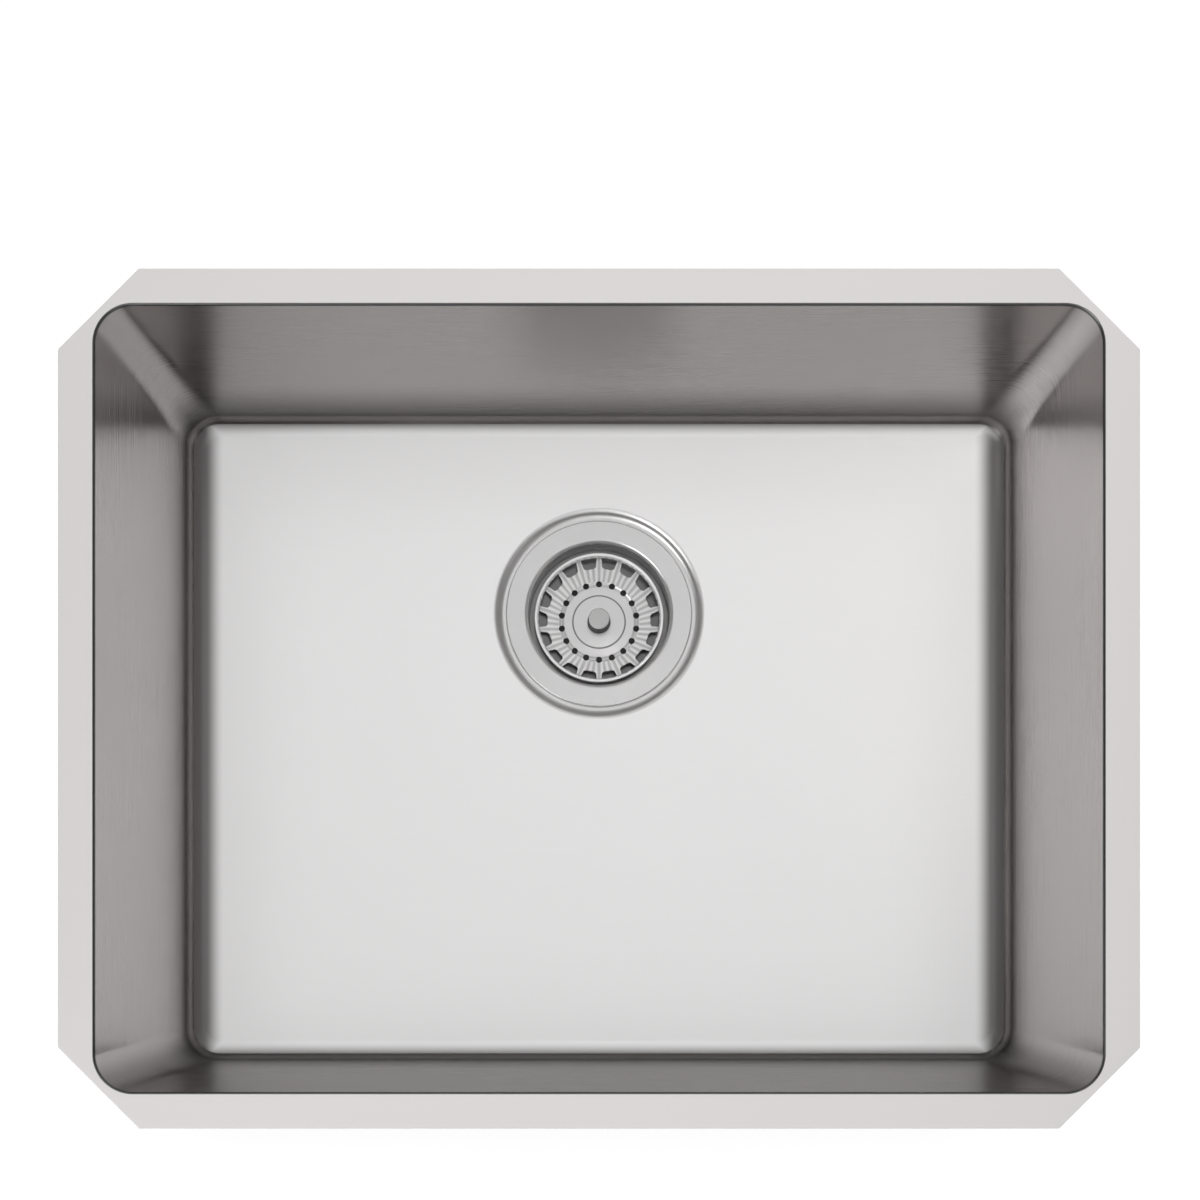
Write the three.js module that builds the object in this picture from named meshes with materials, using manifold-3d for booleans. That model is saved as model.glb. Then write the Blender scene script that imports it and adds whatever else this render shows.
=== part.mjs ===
// Undermount kitchen sink: a pressed bowl with a chamfered flange, its sound-deadening pads,
// and a 90 mm basket strainer with its fittings. Millimetres, +Z up, +Y towards the back.
// The origin is the centre of the opening in the flange's top plane.

import * as THREE from 'three';
import { mergeVertices } from 'three/addons/utils/BufferGeometryUtils.js';
import Module from 'manifold-3d';

const wasm = await Module();
wasm.setup();

// ---- Driving dimensions -------------------------------------------------------------

// Shared clearances
const CONTACT_GAP = 0.3;         // between faces that touch on the real object
const RUNNING_GAP = 0.35;        // between a ring and the post or tube that it slides on

// Bowl
const OPENING_WIDTH = 500;       // along X
const OPENING_LENGTH = 390;      // along Y
const BOWL_DEPTH = 200;          // flange top to floor
const CORNER_RADIUS = 19;        // upright corners of the opening
const FLOOR_FILLET = 12;         // between the walls and the floor
const SHEET = 1.2;               // bowl's steel thickness
const FLANGE_WIDTH = 18;         // opening's edge to the flange's outer edge
const FLANGE_CHAMFER = 40;       // leg of each cut corner of the flange
const DRAIN_SHIFT = 77;          // drain's axis behind the bowl's centre

// Recess pressed in the floor round the drain
const FLANGE_DROP = 0.6;         // strainer flange's top below the floor
const RECESS_MARGIN = 1.2;       // flat of the recess outside the strainer's flange
const RECESS_SLOPE_RUN = 6.3;    // radial width of the recess's sloping wall
const HOLE_CLEARANCE = 1.5;      // drain hole's edge to the strainer's cup

// Sound-deadening pads
const PAD_THICKNESS = 2.5;
const PAD_CORNER = 10;
const BASE_PAD_WIDTH = 400;
const BASE_PAD_LENGTH = 340;
const BASE_PAD_HOLE_MARGIN = 6;
const WALL_PAD_HEIGHT = 110;
const WALL_PAD_DROP = 45;        // flange's top to the wall pads' upper edge
const SIDE_PAD_LENGTH = 240;
const END_PAD_LENGTH = 320;

// Strainer body
const STRAINER_FLANGE_RADIUS = 57;
const STRAINER_SHEET = 1.0;
const FLANGE_LIP_DROP = 1.4;     // turned-down outer edge of the strainer's flange
const CUP_RADIUS = 43.5;         // inside the cup
const MOUTH_ROUND = 2.5;         // rounded edge between flange and cup
const CUP_STRAIGHT = 21;         // straight upper part of the cup, below the rounded mouth
const SEAT_DEPTH = 39.7;         // flange's top to the stopper's seat
const SEAT_WIDTH = 9.6;          // flat ring that the stopper closes on
const SPIGOT_RADIUS = 24;        // threaded outlet of the strainer body
const SPIGOT_WALL = 2.6;
const SPIGOT_LENGTH = 28;        // seat to the spigot's lower end
const SPIDER_RING_WALL = 3;      // ring that takes the stem's clip
const SPIDER_ARM_WIDTH = 3;
const SPIDER_HEIGHT = 4;
const SPIDER_ARMS = 4;

// Seals and nuts under the bowl
const SEAL_THICKNESS = 1.2;      // seal under the strainer's flange
const SEAL_MARGIN = 1.6;         // seal's edge inside the flange's turned-down lip
const GASKET_THICKNESS = 3;
const FRICTION_RING_THICKNESS = 1;
const UNDER_RING_WIDTH = 9.5;    // radial width of the gasket and the friction ring
const LOCK_NUT_HEIGHT = 10;
const LOCK_NUT_WALL = 6;
const LOCK_NUT_LUGS = 6;
const LUG_DEPTH = 4.5;
const LUG_WIDTH = 12;

// Tailpiece and its coupling
const TAILPIECE_RADIUS = 19.05;
const TAILPIECE_WALL = 1.2;
const TAILPIECE_LENGTH = 70;     // below its collar
const TAILPIECE_COLLAR = 1.6;
const TAIL_WASHER_THICKNESS = 2;
const COUPLING_WALL = 4;
const COUPLING_ENGAGEMENT = 12;  // length that covers the spigot
const COUPLING_BASE = 2.2;       // inward lip under the tailpiece's collar
const COUPLING_FACES = 8;

// Basket
const BASKET_CLEARANCE = 3.5;    // between the rolled rim and the cup
const BASKET_RIM = 1.7;          // thickness of the rolled rim
const BASKET_DEPTH = 16.6;       // rim's top to the hub's top
const BASKET_SHEET = 0.8;
const BASKET_WALL_LEAN = 1.1;    // short upright wall under the rim
const BASKET_WALL_HEIGHT = 3.8;
const BASKET_SLOPE_RUN = 11.7;   // radial width of the sloping wall
const HOLE_GROOVE_WIDTH = 3.5;   // groove that the round holes stand in
const HOLE_GROOVE_DEPTH = 0.9;
const HUB_STEP_RADIUS = 16.8;
const HUB_STEP = 0.4;            // height of the hub's raised disc
const PERFORATIONS = 18;         // slots in the sloping wall, and as many round holes
const HOLE_RADIUS = 1.95;
const SLOT_REACH = 5;            // slots run this far down the sloping wall, seen from above
const RIB_WIDTH = 3.8;           // between two slots

// Stem, knob and stopper
const STEM_RADIUS = 3;
const KNOB_HEIGHT = 12.6;
const KNOB_TOP_RADIUS = 6.5;
const KNOB_BASE_RADIUS = 7.4;
const KNOB_EDGE = 0.5;
const KNOB_BORE_DEPTH = 8.5;
const STOPPER_PLATE_RADIUS = 20;
const STOPPER_PLATE_THICKNESS = 1;
const STOPPER_OVERLAP = 5.6;     // stopper's edge outside the outlet's bore
const STOPPER_HEIGHT = 6;
const STOPPER_BEVEL = 2.5;
const SEAL_WASHER_RADIUS = 10;
const SEAL_WASHER_THICKNESS = 1.2;
const STEM_NUT_WALL = 2.45;      // bore to corners
const STEM_NUT_HEIGHT = 3.5;
const STEM_NUT_FACES = 6;
const CLIP_HEIGHT = 8;
const CLIP_WALL = 0.6;
const CLIP_BULGE = 0.7;          // swelling at the clip's waist
const CLIP_SLOT_WIDTH = 1.2;

// Facets
const WIDE_FACETS = 36;          // a whole number for each perforation
const NARROW_FACETS = 24;
const SMALL_FACETS = 16;
const CORNER_STEPS = 6;

// ---- Levels and radii that follow from them -----------------------------------------

const floorTop = -BOWL_DEPTH;
const strainerTop = floorTop - FLANGE_DROP;
const flangeSealTop = strainerTop - STRAINER_SHEET - CONTACT_GAP;
const recessTop = flangeSealTop - SEAL_THICKNESS - CONTACT_GAP;
const recessUnderside = recessTop - SHEET;
const recessFlatRadius = STRAINER_FLANGE_RADIUS + RECESS_MARGIN;
const recessMouthRadius = recessFlatRadius + RECESS_SLOPE_RUN;
const recessDepth = floorTop - recessTop;
const cupOuterRadius = CUP_RADIUS + STRAINER_SHEET;
const drainHoleRadius = cupOuterRadius + HOLE_CLEARANCE;

const gasketTop = recessUnderside - CONTACT_GAP;
const frictionRingTop = gasketTop - GASKET_THICKNESS - CONTACT_GAP;
const lockNutTop = frictionRingTop - FRICTION_RING_THICKNESS - CONTACT_GAP;
const underRingInner = cupOuterRadius + RUNNING_GAP;

const cupStraightEnd = strainerTop - MOUTH_ROUND - CUP_STRAIGHT;
const seatTop = strainerTop - SEAT_DEPTH;
const spigotBore = SPIGOT_RADIUS - SPIGOT_WALL;
const seatRadius = spigotBore + SEAT_WIDTH;
const spigotEnd = seatTop - SPIGOT_LENGTH;

const tailWasherTop = spigotEnd - CONTACT_GAP;
const collarTop = tailWasherTop - TAIL_WASHER_THICKNESS - CONTACT_GAP;
const collarEnd = collarTop - TAILPIECE_COLLAR;
const tailpieceEnd = collarEnd - TAILPIECE_LENGTH;
const couplingBore = SPIGOT_RADIUS + RUNNING_GAP;
const couplingTop = spigotEnd + COUPLING_ENGAGEMENT;
const couplingLipTop = collarEnd - CONTACT_GAP;

const stopperRadius = spigotBore + STOPPER_OVERLAP;
const stopperEnd = seatTop + CONTACT_GAP;
const stopperTop = stopperEnd + STOPPER_HEIGHT;
const plateEnd = stopperTop + CONTACT_GAP;
const plateTop = plateEnd + STOPPER_PLATE_THICKNESS;
const hubUnderside = plateTop + CONTACT_GAP;
const hubTop = hubUnderside + BASKET_SHEET;
const basketRimTop = hubTop + BASKET_DEPTH;
const basketRadius = CUP_RADIUS - BASKET_CLEARANCE;
const basketWallTop = basketRadius - BASKET_RIM;
const basketWallFoot = basketWallTop - BASKET_WALL_LEAN;
const basketFoot = basketWallFoot - BASKET_SLOPE_RUN;
const holeRingRadius = basketFoot - HOLE_GROOVE_WIDTH / 2;
const hubEdgeRadius = basketFoot - HOLE_GROOVE_WIDTH;
const slotInnerRadius = basketWallFoot - SLOT_REACH;
const slotOuterRadius = basketWallTop + BASKET_SHEET / 2;
const knobEnd = hubTop + HUB_STEP + CONTACT_GAP;
const knobTop = knobEnd + KNOB_HEIGHT;
const stemTop = knobEnd + KNOB_BORE_DEPTH;
const stemBore = STEM_RADIUS + RUNNING_GAP;
const sealWasherTop = stopperEnd - CONTACT_GAP;
const stemNutTop = sealWasherTop - SEAL_WASHER_THICKNESS - CONTACT_GAP;
const clipTop = stemNutTop - STEM_NUT_HEIGHT - CONTACT_GAP;
const clipEnd = clipTop - CLIP_HEIGHT;
const spiderTop = clipTop - CONTACT_GAP;
const clipNeckRadius = stemBore + CLIP_WALL;
const clipBulgeRadius = clipNeckRadius + CLIP_BULGE;
const spiderBore = clipBulgeRadius + RUNNING_GAP;
const stemNutRadius = stemBore + STEM_NUT_WALL;

// ---- Materials ----------------------------------------------------------------------

function finish(color, roughness, metalness) {
  return new THREE.MeshStandardMaterial({ color, roughness, metalness });
}

const finishes = {
  brushedSteel: () => finish(0xcfcfcc, 0.34, 1),
  polishedSteel: () => finish(0xdcdcda, 0.12, 1),
  darkSteel: () => finish(0x8a8a88, 0.4, 1),
  padRubber: () => finish(0x4a4c4f, 0.9, 0),
  sealRubber: () => finish(0x26272a, 0.75, 0),
  paleFibre: () => finish(0xc9bfa8, 0.9, 0),
  whitePlastic: () => finish(0xe6e6e2, 0.5, 0),
  castZinc: () => finish(0x9da0a2, 0.5, 1),
};

// ---- Solid helpers ------------------------------------------------------------------

// A closed geometry as a solid: shared vertices are merged, slivers with two equal corners
// are dropped, and the faces are turned outwards.
function toSolid(geometry) {
  const bare = geometry.clone();
  bare.deleteAttribute('normal');
  bare.deleteAttribute('uv');
  const merged = mergeVertices(bare, 1e-4);
  const position = merged.attributes.position;
  const corners = Array.from(merged.index.array);
  const kept = [];
  let volume = 0;
  const [a, b, c] = [new THREE.Vector3(), new THREE.Vector3(), new THREE.Vector3()];
  for (let i = 0; i < corners.length; i += 3) {
    const [p, q, r] = corners.slice(i, i + 3);
    if (p === q || q === r || p === r) continue;
    kept.push(p, q, r);
    a.fromBufferAttribute(position, p);
    b.fromBufferAttribute(position, q);
    c.fromBufferAttribute(position, r);
    volume += a.dot(b.cross(c));
  }
  if (volume < 0) kept.reverse();
  return new wasm.Manifold(new wasm.Mesh({
    numProp: 3,
    vertProperties: new Float32Array(position.array),
    triVerts: new Uint32Array(kept),
  }));
}

// A solid as a named mesh with its own material.
function toMesh(name, solid, material) {
  const result = solid.getMesh();
  const geometry = new THREE.BufferGeometry();
  geometry.setAttribute('position', new THREE.BufferAttribute(result.vertProperties, 3));
  geometry.setIndex(new THREE.BufferAttribute(result.triVerts, 1));
  geometry.computeVertexNormals();
  const mesh = new THREE.Mesh(geometry, material);
  mesh.name = name;
  return mesh;
}

// A turned solid about Z from [radius, height] pairs. A profile that leaves the axis is
// closed on itself.
function turned(profile, facets) {
  const points = profile.map(([radius, height]) => new THREE.Vector2(radius, height));
  const onAxis = profile[0][0] === 0 && profile[profile.length - 1][0] === 0;
  if (!onAxis) points.push(points[0].clone());
  const geometry = new THREE.LatheGeometry(points, facets);
  geometry.rotateX(Math.PI / 2);
  return toSolid(geometry);
}

// A flat ring between two radii and two levels.
function ring(inner, outer, bottom, top, facets) {
  return turned([[inner, bottom], [outer, bottom], [outer, top], [inner, top]], facets);
}

// A box from its size and its centre.
function block(width, length, height, x, y, z) {
  const geometry = new THREE.BoxGeometry(width, length, height);
  geometry.translate(x, y, z);
  return toSolid(geometry);
}

// A rectangle with rounded corners, centred on the origin.
function roundedRectangle(width, length, radius) {
  const x = width / 2;
  const y = length / 2;
  const shape = new THREE.Shape();
  shape.moveTo(x - radius, -y);
  shape.absarc(x - radius, radius - y, radius, -Math.PI / 2, 0, false);
  shape.absarc(x - radius, y - radius, radius, 0, Math.PI / 2, false);
  shape.absarc(radius - x, y - radius, radius, Math.PI / 2, Math.PI, false);
  shape.absarc(radius - x, radius - y, radius, Math.PI, Math.PI * 1.5, false);
  return shape;
}

// A flat plate of a shape between two levels.
function plate(shape, bottom, top) {
  const geometry = new THREE.ExtrudeGeometry(shape, {
    depth: top - bottom,
    bevelEnabled: false,
    curveSegments: CORNER_STEPS,
  });
  geometry.translate(0, 0, bottom);
  return toSolid(geometry);
}

// Copies of a solid at equal angles about Z, the first one turned by a start angle.
function aroundAxis(count, start, makeSolid) {
  const copies = [];
  for (let i = 0; i < count; i += 1) {
    copies.push(makeSolid(start + (i * 2 * Math.PI) / count));
  }
  return copies;
}

function joinAll(first, others) {
  return others.reduce((sum, solid) => sum.add(solid), first);
}

function cutAll(first, others) {
  return others.reduce((rest, solid) => rest.subtract(solid), first);
}

// ---- Bowl ---------------------------------------------------------------------------

// A tub with rounded upright corners and a rounded floor edge, grown outwards by a margin.
// It reaches above the flange, where the bowl is cut off.
function tub(margin) {
  const fillet = FLOOR_FILLET + margin;
  const bottom = floorTop - margin;
  const shape = roundedRectangle(
    OPENING_WIDTH + 2 * margin,
    OPENING_LENGTH + 2 * margin,
    CORNER_RADIUS + margin,
  );
  const geometry = new THREE.ExtrudeGeometry(shape, {
    depth: BOWL_DEPTH,
    bevelEnabled: true,
    bevelThickness: fillet,
    bevelSize: fillet,
    bevelOffset: -fillet,
    bevelSegments: CORNER_STEPS,
    curveSegments: CORNER_STEPS,
  });
  geometry.translate(0, 0, bottom + fillet);
  return toSolid(geometry);
}

function flangeOutline() {
  const x = OPENING_WIDTH / 2 + FLANGE_WIDTH;
  const y = OPENING_LENGTH / 2 + FLANGE_WIDTH;
  const corner = FLANGE_CHAMFER;
  return new THREE.Shape([
    new THREE.Vector2(x - corner, -y),
    new THREE.Vector2(x, corner - y),
    new THREE.Vector2(x, y - corner),
    new THREE.Vector2(x - corner, y),
    new THREE.Vector2(corner - x, y),
    new THREE.Vector2(-x, y - corner),
    new THREE.Vector2(-x, corner - y),
    new THREE.Vector2(corner - x, -y),
  ]);
}

// The solid that the recess fills, down to a level. Its wall keeps the recess's slope and
// stands off it by a margin.
function recessFill(bottom, margin) {
  const slope = RECESS_SLOPE_RUN / recessDepth;
  const top = floorTop - margin + SHEET / 2;
  const footRadius = recessFlatRadius + margin;
  return turned([
    [0, bottom],
    [footRadius, bottom],
    [footRadius + slope * (top - bottom), top],
    [0, top],
  ], WIDE_FACETS).translate(0, DRAIN_SHIFT, 0);
}

function bowl() {
  const reach = OPENING_WIDTH + OPENING_LENGTH;
  const aboveFlange = block(reach, reach, BOWL_DEPTH, 0, 0, BOWL_DEPTH / 2);
  const outside = tub(SHEET)
    .subtract(aboveFlange)
    .add(plate(flangeOutline(), -SHEET, 0))
    .add(recessFill(recessUnderside, SHEET));
  const drainHole = ring(0, drainHoleRadius, recessUnderside - SHEET, floorTop + SHEET, WIDE_FACETS)
    .translate(0, DRAIN_SHIFT, 0);
  return outside
    .subtract(tub(0))
    .subtract(recessFill(recessTop, 0))
    .subtract(drainHole);
}

// ---- Sound-deadening pads -----------------------------------------------------------

function basePad() {
  const top = floorTop - SHEET - CONTACT_GAP;
  const hole = new THREE.Path();
  const holeRadius = recessMouthRadius + SHEET + BASE_PAD_HOLE_MARGIN;
  hole.absarc(0, DRAIN_SHIFT, holeRadius, 0, 2 * Math.PI, false);
  const shape = roundedRectangle(BASE_PAD_WIDTH, BASE_PAD_LENGTH, PAD_CORNER);
  shape.holes.push(hole);
  return plate(shape, top - PAD_THICKNESS, top);
}

// A pad on one wall: turned upright, then turned about Z so that its back meets the wall.
function wallPad(length, wallDistance, turn) {
  const shape = roundedRectangle(length, WALL_PAD_HEIGHT, PAD_CORNER);
  const middle = -WALL_PAD_DROP - WALL_PAD_HEIGHT / 2;
  const geometry = new THREE.ExtrudeGeometry(shape, {
    depth: PAD_THICKNESS,
    bevelEnabled: false,
    curveSegments: CORNER_STEPS,
  });
  geometry.rotateX(Math.PI / 2);
  geometry.translate(0, -(wallDistance + SHEET + CONTACT_GAP), middle);
  geometry.rotateZ(turn);
  return toSolid(geometry);
}

// ---- Strainer body and what seals it ------------------------------------------------

function strainerBody() {
  const lipRadius = STRAINER_FLANGE_RADIUS;
  const mouthSteps = 4;
  const inner = [];
  const outer = [];
  for (let i = 0; i <= mouthSteps; i += 1) {
    const angle = (i / mouthSteps) * (Math.PI / 2);
    const centreRadius = CUP_RADIUS + MOUTH_ROUND;
    const centreHeight = strainerTop - MOUTH_ROUND;
    const insideRound = MOUTH_ROUND - STRAINER_SHEET;
    inner.push([
      centreRadius - MOUTH_ROUND * Math.sin(angle),
      centreHeight + MOUTH_ROUND * Math.cos(angle),
    ]);
    outer.push([
      centreRadius - insideRound * Math.sin(angle),
      centreHeight + insideRound * Math.cos(angle),
    ]);
  }
  const shell = turned([
    [lipRadius - STRAINER_SHEET, strainerTop - STRAINER_SHEET - FLANGE_LIP_DROP],
    [lipRadius, strainerTop - STRAINER_SHEET - FLANGE_LIP_DROP],
    [lipRadius, strainerTop - STRAINER_SHEET],
    [lipRadius - STRAINER_SHEET, strainerTop],
    ...inner,
    [CUP_RADIUS, cupStraightEnd],
    [seatRadius, seatTop],
    [spigotBore, seatTop],
    [spigotBore, spigotEnd],
    [SPIGOT_RADIUS, spigotEnd],
    [SPIGOT_RADIUS, seatTop - STRAINER_SHEET],
    [seatRadius, seatTop - STRAINER_SHEET],
    [cupOuterRadius, cupStraightEnd],
    ...outer.reverse(),
    [lipRadius - STRAINER_SHEET, strainerTop - STRAINER_SHEET],
  ], WIDE_FACETS);
  const spiderMiddle = spiderTop - SPIDER_HEIGHT / 2;
  const armReach = (spigotBore + SPIGOT_RADIUS) / 2 - spiderBore;
  const armMiddle = spiderBore + armReach / 2;
  const arms = aroundAxis(SPIDER_ARMS, Math.PI / SPIDER_ARMS, (angle) => {
    const arm = new THREE.BoxGeometry(armReach, SPIDER_ARM_WIDTH, SPIDER_HEIGHT);
    arm.translate(armMiddle, 0, spiderMiddle);
    arm.rotateZ(angle);
    return toSolid(arm);
  });
  const hub = ring(0, spiderBore + SPIDER_RING_WALL, spiderTop - SPIDER_HEIGHT, spiderTop, SMALL_FACETS);
  const clipHole = ring(0, spiderBore, spiderTop - 2 * SPIDER_HEIGHT, spiderTop + 1, SMALL_FACETS);
  return joinAll(shell, [...arms, hub]).subtract(clipHole);
}

function flangeSeal() {
  const outer = STRAINER_FLANGE_RADIUS - STRAINER_SHEET - SEAL_MARGIN;
  return ring(drainHoleRadius, outer, flangeSealTop - SEAL_THICKNESS, flangeSealTop, WIDE_FACETS);
}

function underRing(top, thickness) {
  return ring(
    underRingInner,
    underRingInner + UNDER_RING_WIDTH,
    top - thickness,
    top,
    WIDE_FACETS,
  );
}

function lockNut() {
  const outer = underRingInner + LOCK_NUT_WALL;
  const bottom = lockNutTop - LOCK_NUT_HEIGHT;
  const body = ring(underRingInner, outer, bottom, lockNutTop, WIDE_FACETS);
  const overlap = LOCK_NUT_WALL / 2;
  const lugs = aroundAxis(LOCK_NUT_LUGS, 0, (angle) => {
    const lug = new THREE.BoxGeometry(LUG_DEPTH + overlap, LUG_WIDTH, LOCK_NUT_HEIGHT);
    lug.translate(outer + (LUG_DEPTH - overlap) / 2, 0, bottom + LOCK_NUT_HEIGHT / 2);
    lug.rotateZ(angle);
    return toSolid(lug);
  });
  return joinAll(body, lugs);
}

// ---- Tailpiece and its coupling -----------------------------------------------------

function tailWasher() {
  const bottom = tailWasherTop - TAIL_WASHER_THICKNESS;
  const inner = TAILPIECE_RADIUS - TAILPIECE_WALL;
  return ring(inner, SPIGOT_RADIUS, bottom, tailWasherTop, NARROW_FACETS);
}

function tailpiece() {
  const bore = TAILPIECE_RADIUS - TAILPIECE_WALL;
  return turned([
    [bore, tailpieceEnd],
    [TAILPIECE_RADIUS, tailpieceEnd],
    [TAILPIECE_RADIUS, collarEnd],
    [SPIGOT_RADIUS, collarEnd],
    [SPIGOT_RADIUS, collarTop],
    [bore, collarTop],
  ], NARROW_FACETS);
}

function couplingNut() {
  const outer = couplingBore + COUPLING_WALL;
  const bottom = couplingLipTop - COUPLING_BASE;
  const lipBore = TAILPIECE_RADIUS + RUNNING_GAP;
  const outside = ring(0, outer, bottom, couplingTop, COUPLING_FACES);
  const inside = turned([
    [0, bottom - COUPLING_BASE],
    [lipBore, bottom - COUPLING_BASE],
    [lipBore, couplingLipTop],
    [couplingBore, couplingLipTop],
    [couplingBore, couplingTop + COUPLING_BASE],
    [0, couplingTop + COUPLING_BASE],
  ], NARROW_FACETS);
  return outside.subtract(inside);
}

// ---- Basket -------------------------------------------------------------------------

// The basket's upper surface, from the hub's middle out to the inside of the rolled rim.
const basketSurface = [
  [stemBore, hubTop + HUB_STEP],
  [HUB_STEP_RADIUS - HUB_STEP, hubTop + HUB_STEP],
  [HUB_STEP_RADIUS, hubTop],
  [hubEdgeRadius, hubTop],
  [holeRingRadius, hubTop - HOLE_GROOVE_DEPTH],
  [basketFoot, hubTop],
  [basketWallFoot, basketRimTop - BASKET_RIM - BASKET_WALL_HEIGHT],
  [basketWallTop, basketRimTop - BASKET_RIM],
];

// One slot: the sector between two radii, with a rib of even width left on each side.
function slotCutter(angle) {
  const pitch = Math.PI / PERFORATIONS;
  const innerHalf = pitch - Math.asin(RIB_WIDTH / 2 / slotInnerRadius);
  const outerHalf = pitch - Math.asin(RIB_WIDTH / 2 / slotOuterRadius);
  const shape = new THREE.Shape();
  const corner = (radius, turn) => [radius * Math.cos(turn), radius * Math.sin(turn)];
  shape.moveTo(...corner(slotInnerRadius, -innerHalf));
  shape.lineTo(...corner(slotOuterRadius, -outerHalf));
  shape.lineTo(...corner(slotOuterRadius, 0));
  shape.lineTo(...corner(slotOuterRadius, outerHalf));
  shape.lineTo(...corner(slotInnerRadius, innerHalf));
  shape.lineTo(...corner(slotInnerRadius, 0));
  shape.closePath();
  const top = basketRimTop - BASKET_RIM - BASKET_WALL_HEIGHT / 3;
  return plate(shape, hubUnderside, top).rotate(0, 0, THREE.MathUtils.radToDeg(angle));
}

function holeCutter(angle) {
  const holeFacets = 8;
  const x = holeRingRadius * Math.cos(angle);
  const y = holeRingRadius * Math.sin(angle);
  const bottom = hubTop - BASKET_DEPTH / 2;
  return ring(0, HOLE_RADIUS, bottom, hubTop + BASKET_DEPTH / 2, holeFacets).translate(x, y, 0);
}

function basketCup() {
  const upper = basketSurface;
  const lower = [...upper].reverse().map(([radius, height]) => [radius, height - BASKET_SHEET]);
  lower[0][0] += BASKET_SHEET;
  lower[1][0] += BASKET_SHEET;
  const rim = [
    [basketRadius - BASKET_RIM, basketRimTop - BASKET_RIM / 3],
    [basketRadius - BASKET_RIM * 0.7, basketRimTop],
    [basketRadius - BASKET_RIM * 0.3, basketRimTop],
    [basketRadius, basketRimTop - BASKET_RIM / 3],
    [basketRadius, basketRimTop - BASKET_RIM],
  ];
  const shell = turned([...upper, ...rim, ...lower], WIDE_FACETS);
  const firstHole = Math.PI / 2;
  const firstSlot = firstHole + Math.PI / PERFORATIONS;
  return cutAll(shell, [
    ...aroundAxis(PERFORATIONS, firstSlot, slotCutter),
    ...aroundAxis(PERFORATIONS, firstHole, holeCutter),
  ]);
}

// ---- Stem, knob and stopper ---------------------------------------------------------

function basketStem() {
  return ring(0, STEM_RADIUS, clipEnd, stemTop - CONTACT_GAP, SMALL_FACETS);
}

function basketKnob() {
  return turned([
    [stemBore, knobEnd],
    [KNOB_BASE_RADIUS, knobEnd],
    [KNOB_TOP_RADIUS, knobTop - KNOB_EDGE],
    [KNOB_TOP_RADIUS - KNOB_EDGE, knobTop],
    [0, knobTop],
    [0, stemTop],
    [stemBore, stemTop],
  ], NARROW_FACETS);
}

function stopperSeal() {
  return turned([
    [stemBore, stopperEnd],
    [stopperRadius - STOPPER_BEVEL, stopperEnd],
    [stopperRadius, stopperEnd + STOPPER_BEVEL],
    [STOPPER_PLATE_RADIUS, stopperTop],
    [stemBore, stopperTop],
  ], NARROW_FACETS);
}

function stemClip() {
  const waist = (clipTop + clipEnd) / 2;
  const clip = turned([
    [stemBore, clipEnd],
    [clipNeckRadius, clipEnd],
    [clipBulgeRadius, waist],
    [clipNeckRadius, clipTop],
    [stemBore, clipTop],
  ], SMALL_FACETS);
  const slotTop = clipTop - CLIP_HEIGHT / 4;
  const slotHeight = slotTop - clipEnd + CLIP_HEIGHT;
  const slotReach = 4 * clipBulgeRadius;
  const slotMiddle = slotTop - slotHeight / 2;
  return clip
    .subtract(block(slotReach, CLIP_SLOT_WIDTH, slotHeight, 0, 0, slotMiddle))
    .subtract(block(CLIP_SLOT_WIDTH, slotReach, slotHeight, 0, 0, slotMiddle));
}

// ---- Assembly -----------------------------------------------------------------------

const sink = new THREE.Group();
sink.name = 'undermount_sink';

sink.add(toMesh('sink_bowl', bowl(), finishes.brushedSteel()));
sink.add(toMesh('base_pad', basePad(), finishes.padRubber()));

const wallPads = [
  ['front_pad', END_PAD_LENGTH, OPENING_LENGTH / 2, 0],
  ['right_pad', SIDE_PAD_LENGTH, OPENING_WIDTH / 2, Math.PI / 2],
  ['back_pad', END_PAD_LENGTH, OPENING_LENGTH / 2, Math.PI],
  ['left_pad', SIDE_PAD_LENGTH, OPENING_WIDTH / 2, -Math.PI / 2],
];
for (const [name, length, wallDistance, turn] of wallPads) {
  sink.add(toMesh(name, wallPad(length, wallDistance, turn), finishes.padRubber()));
}

// Everything on the drain's axis is made round Z and carried there by one group.
const drain = new THREE.Group();
drain.name = 'drain';
drain.position.set(0, DRAIN_SHIFT, 0);
sink.add(drain);

const gasket = underRing(gasketTop, GASKET_THICKNESS);
const frictionRing = underRing(frictionRingTop, FRICTION_RING_THICKNESS);
drain.add(toMesh('strainer_body', strainerBody(), finishes.polishedSteel()));
drain.add(toMesh('flange_seal', flangeSeal(), finishes.sealRubber()));
drain.add(toMesh('under_gasket', gasket, finishes.sealRubber()));
drain.add(toMesh('friction_ring', frictionRing, finishes.paleFibre()));
drain.add(toMesh('lock_nut', lockNut(), finishes.castZinc()));
drain.add(toMesh('tail_washer', tailWasher(), finishes.whitePlastic()));
drain.add(toMesh('tailpiece', tailpiece(), finishes.polishedSteel()));
drain.add(toMesh('coupling_nut', couplingNut(), finishes.castZinc()));

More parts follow.
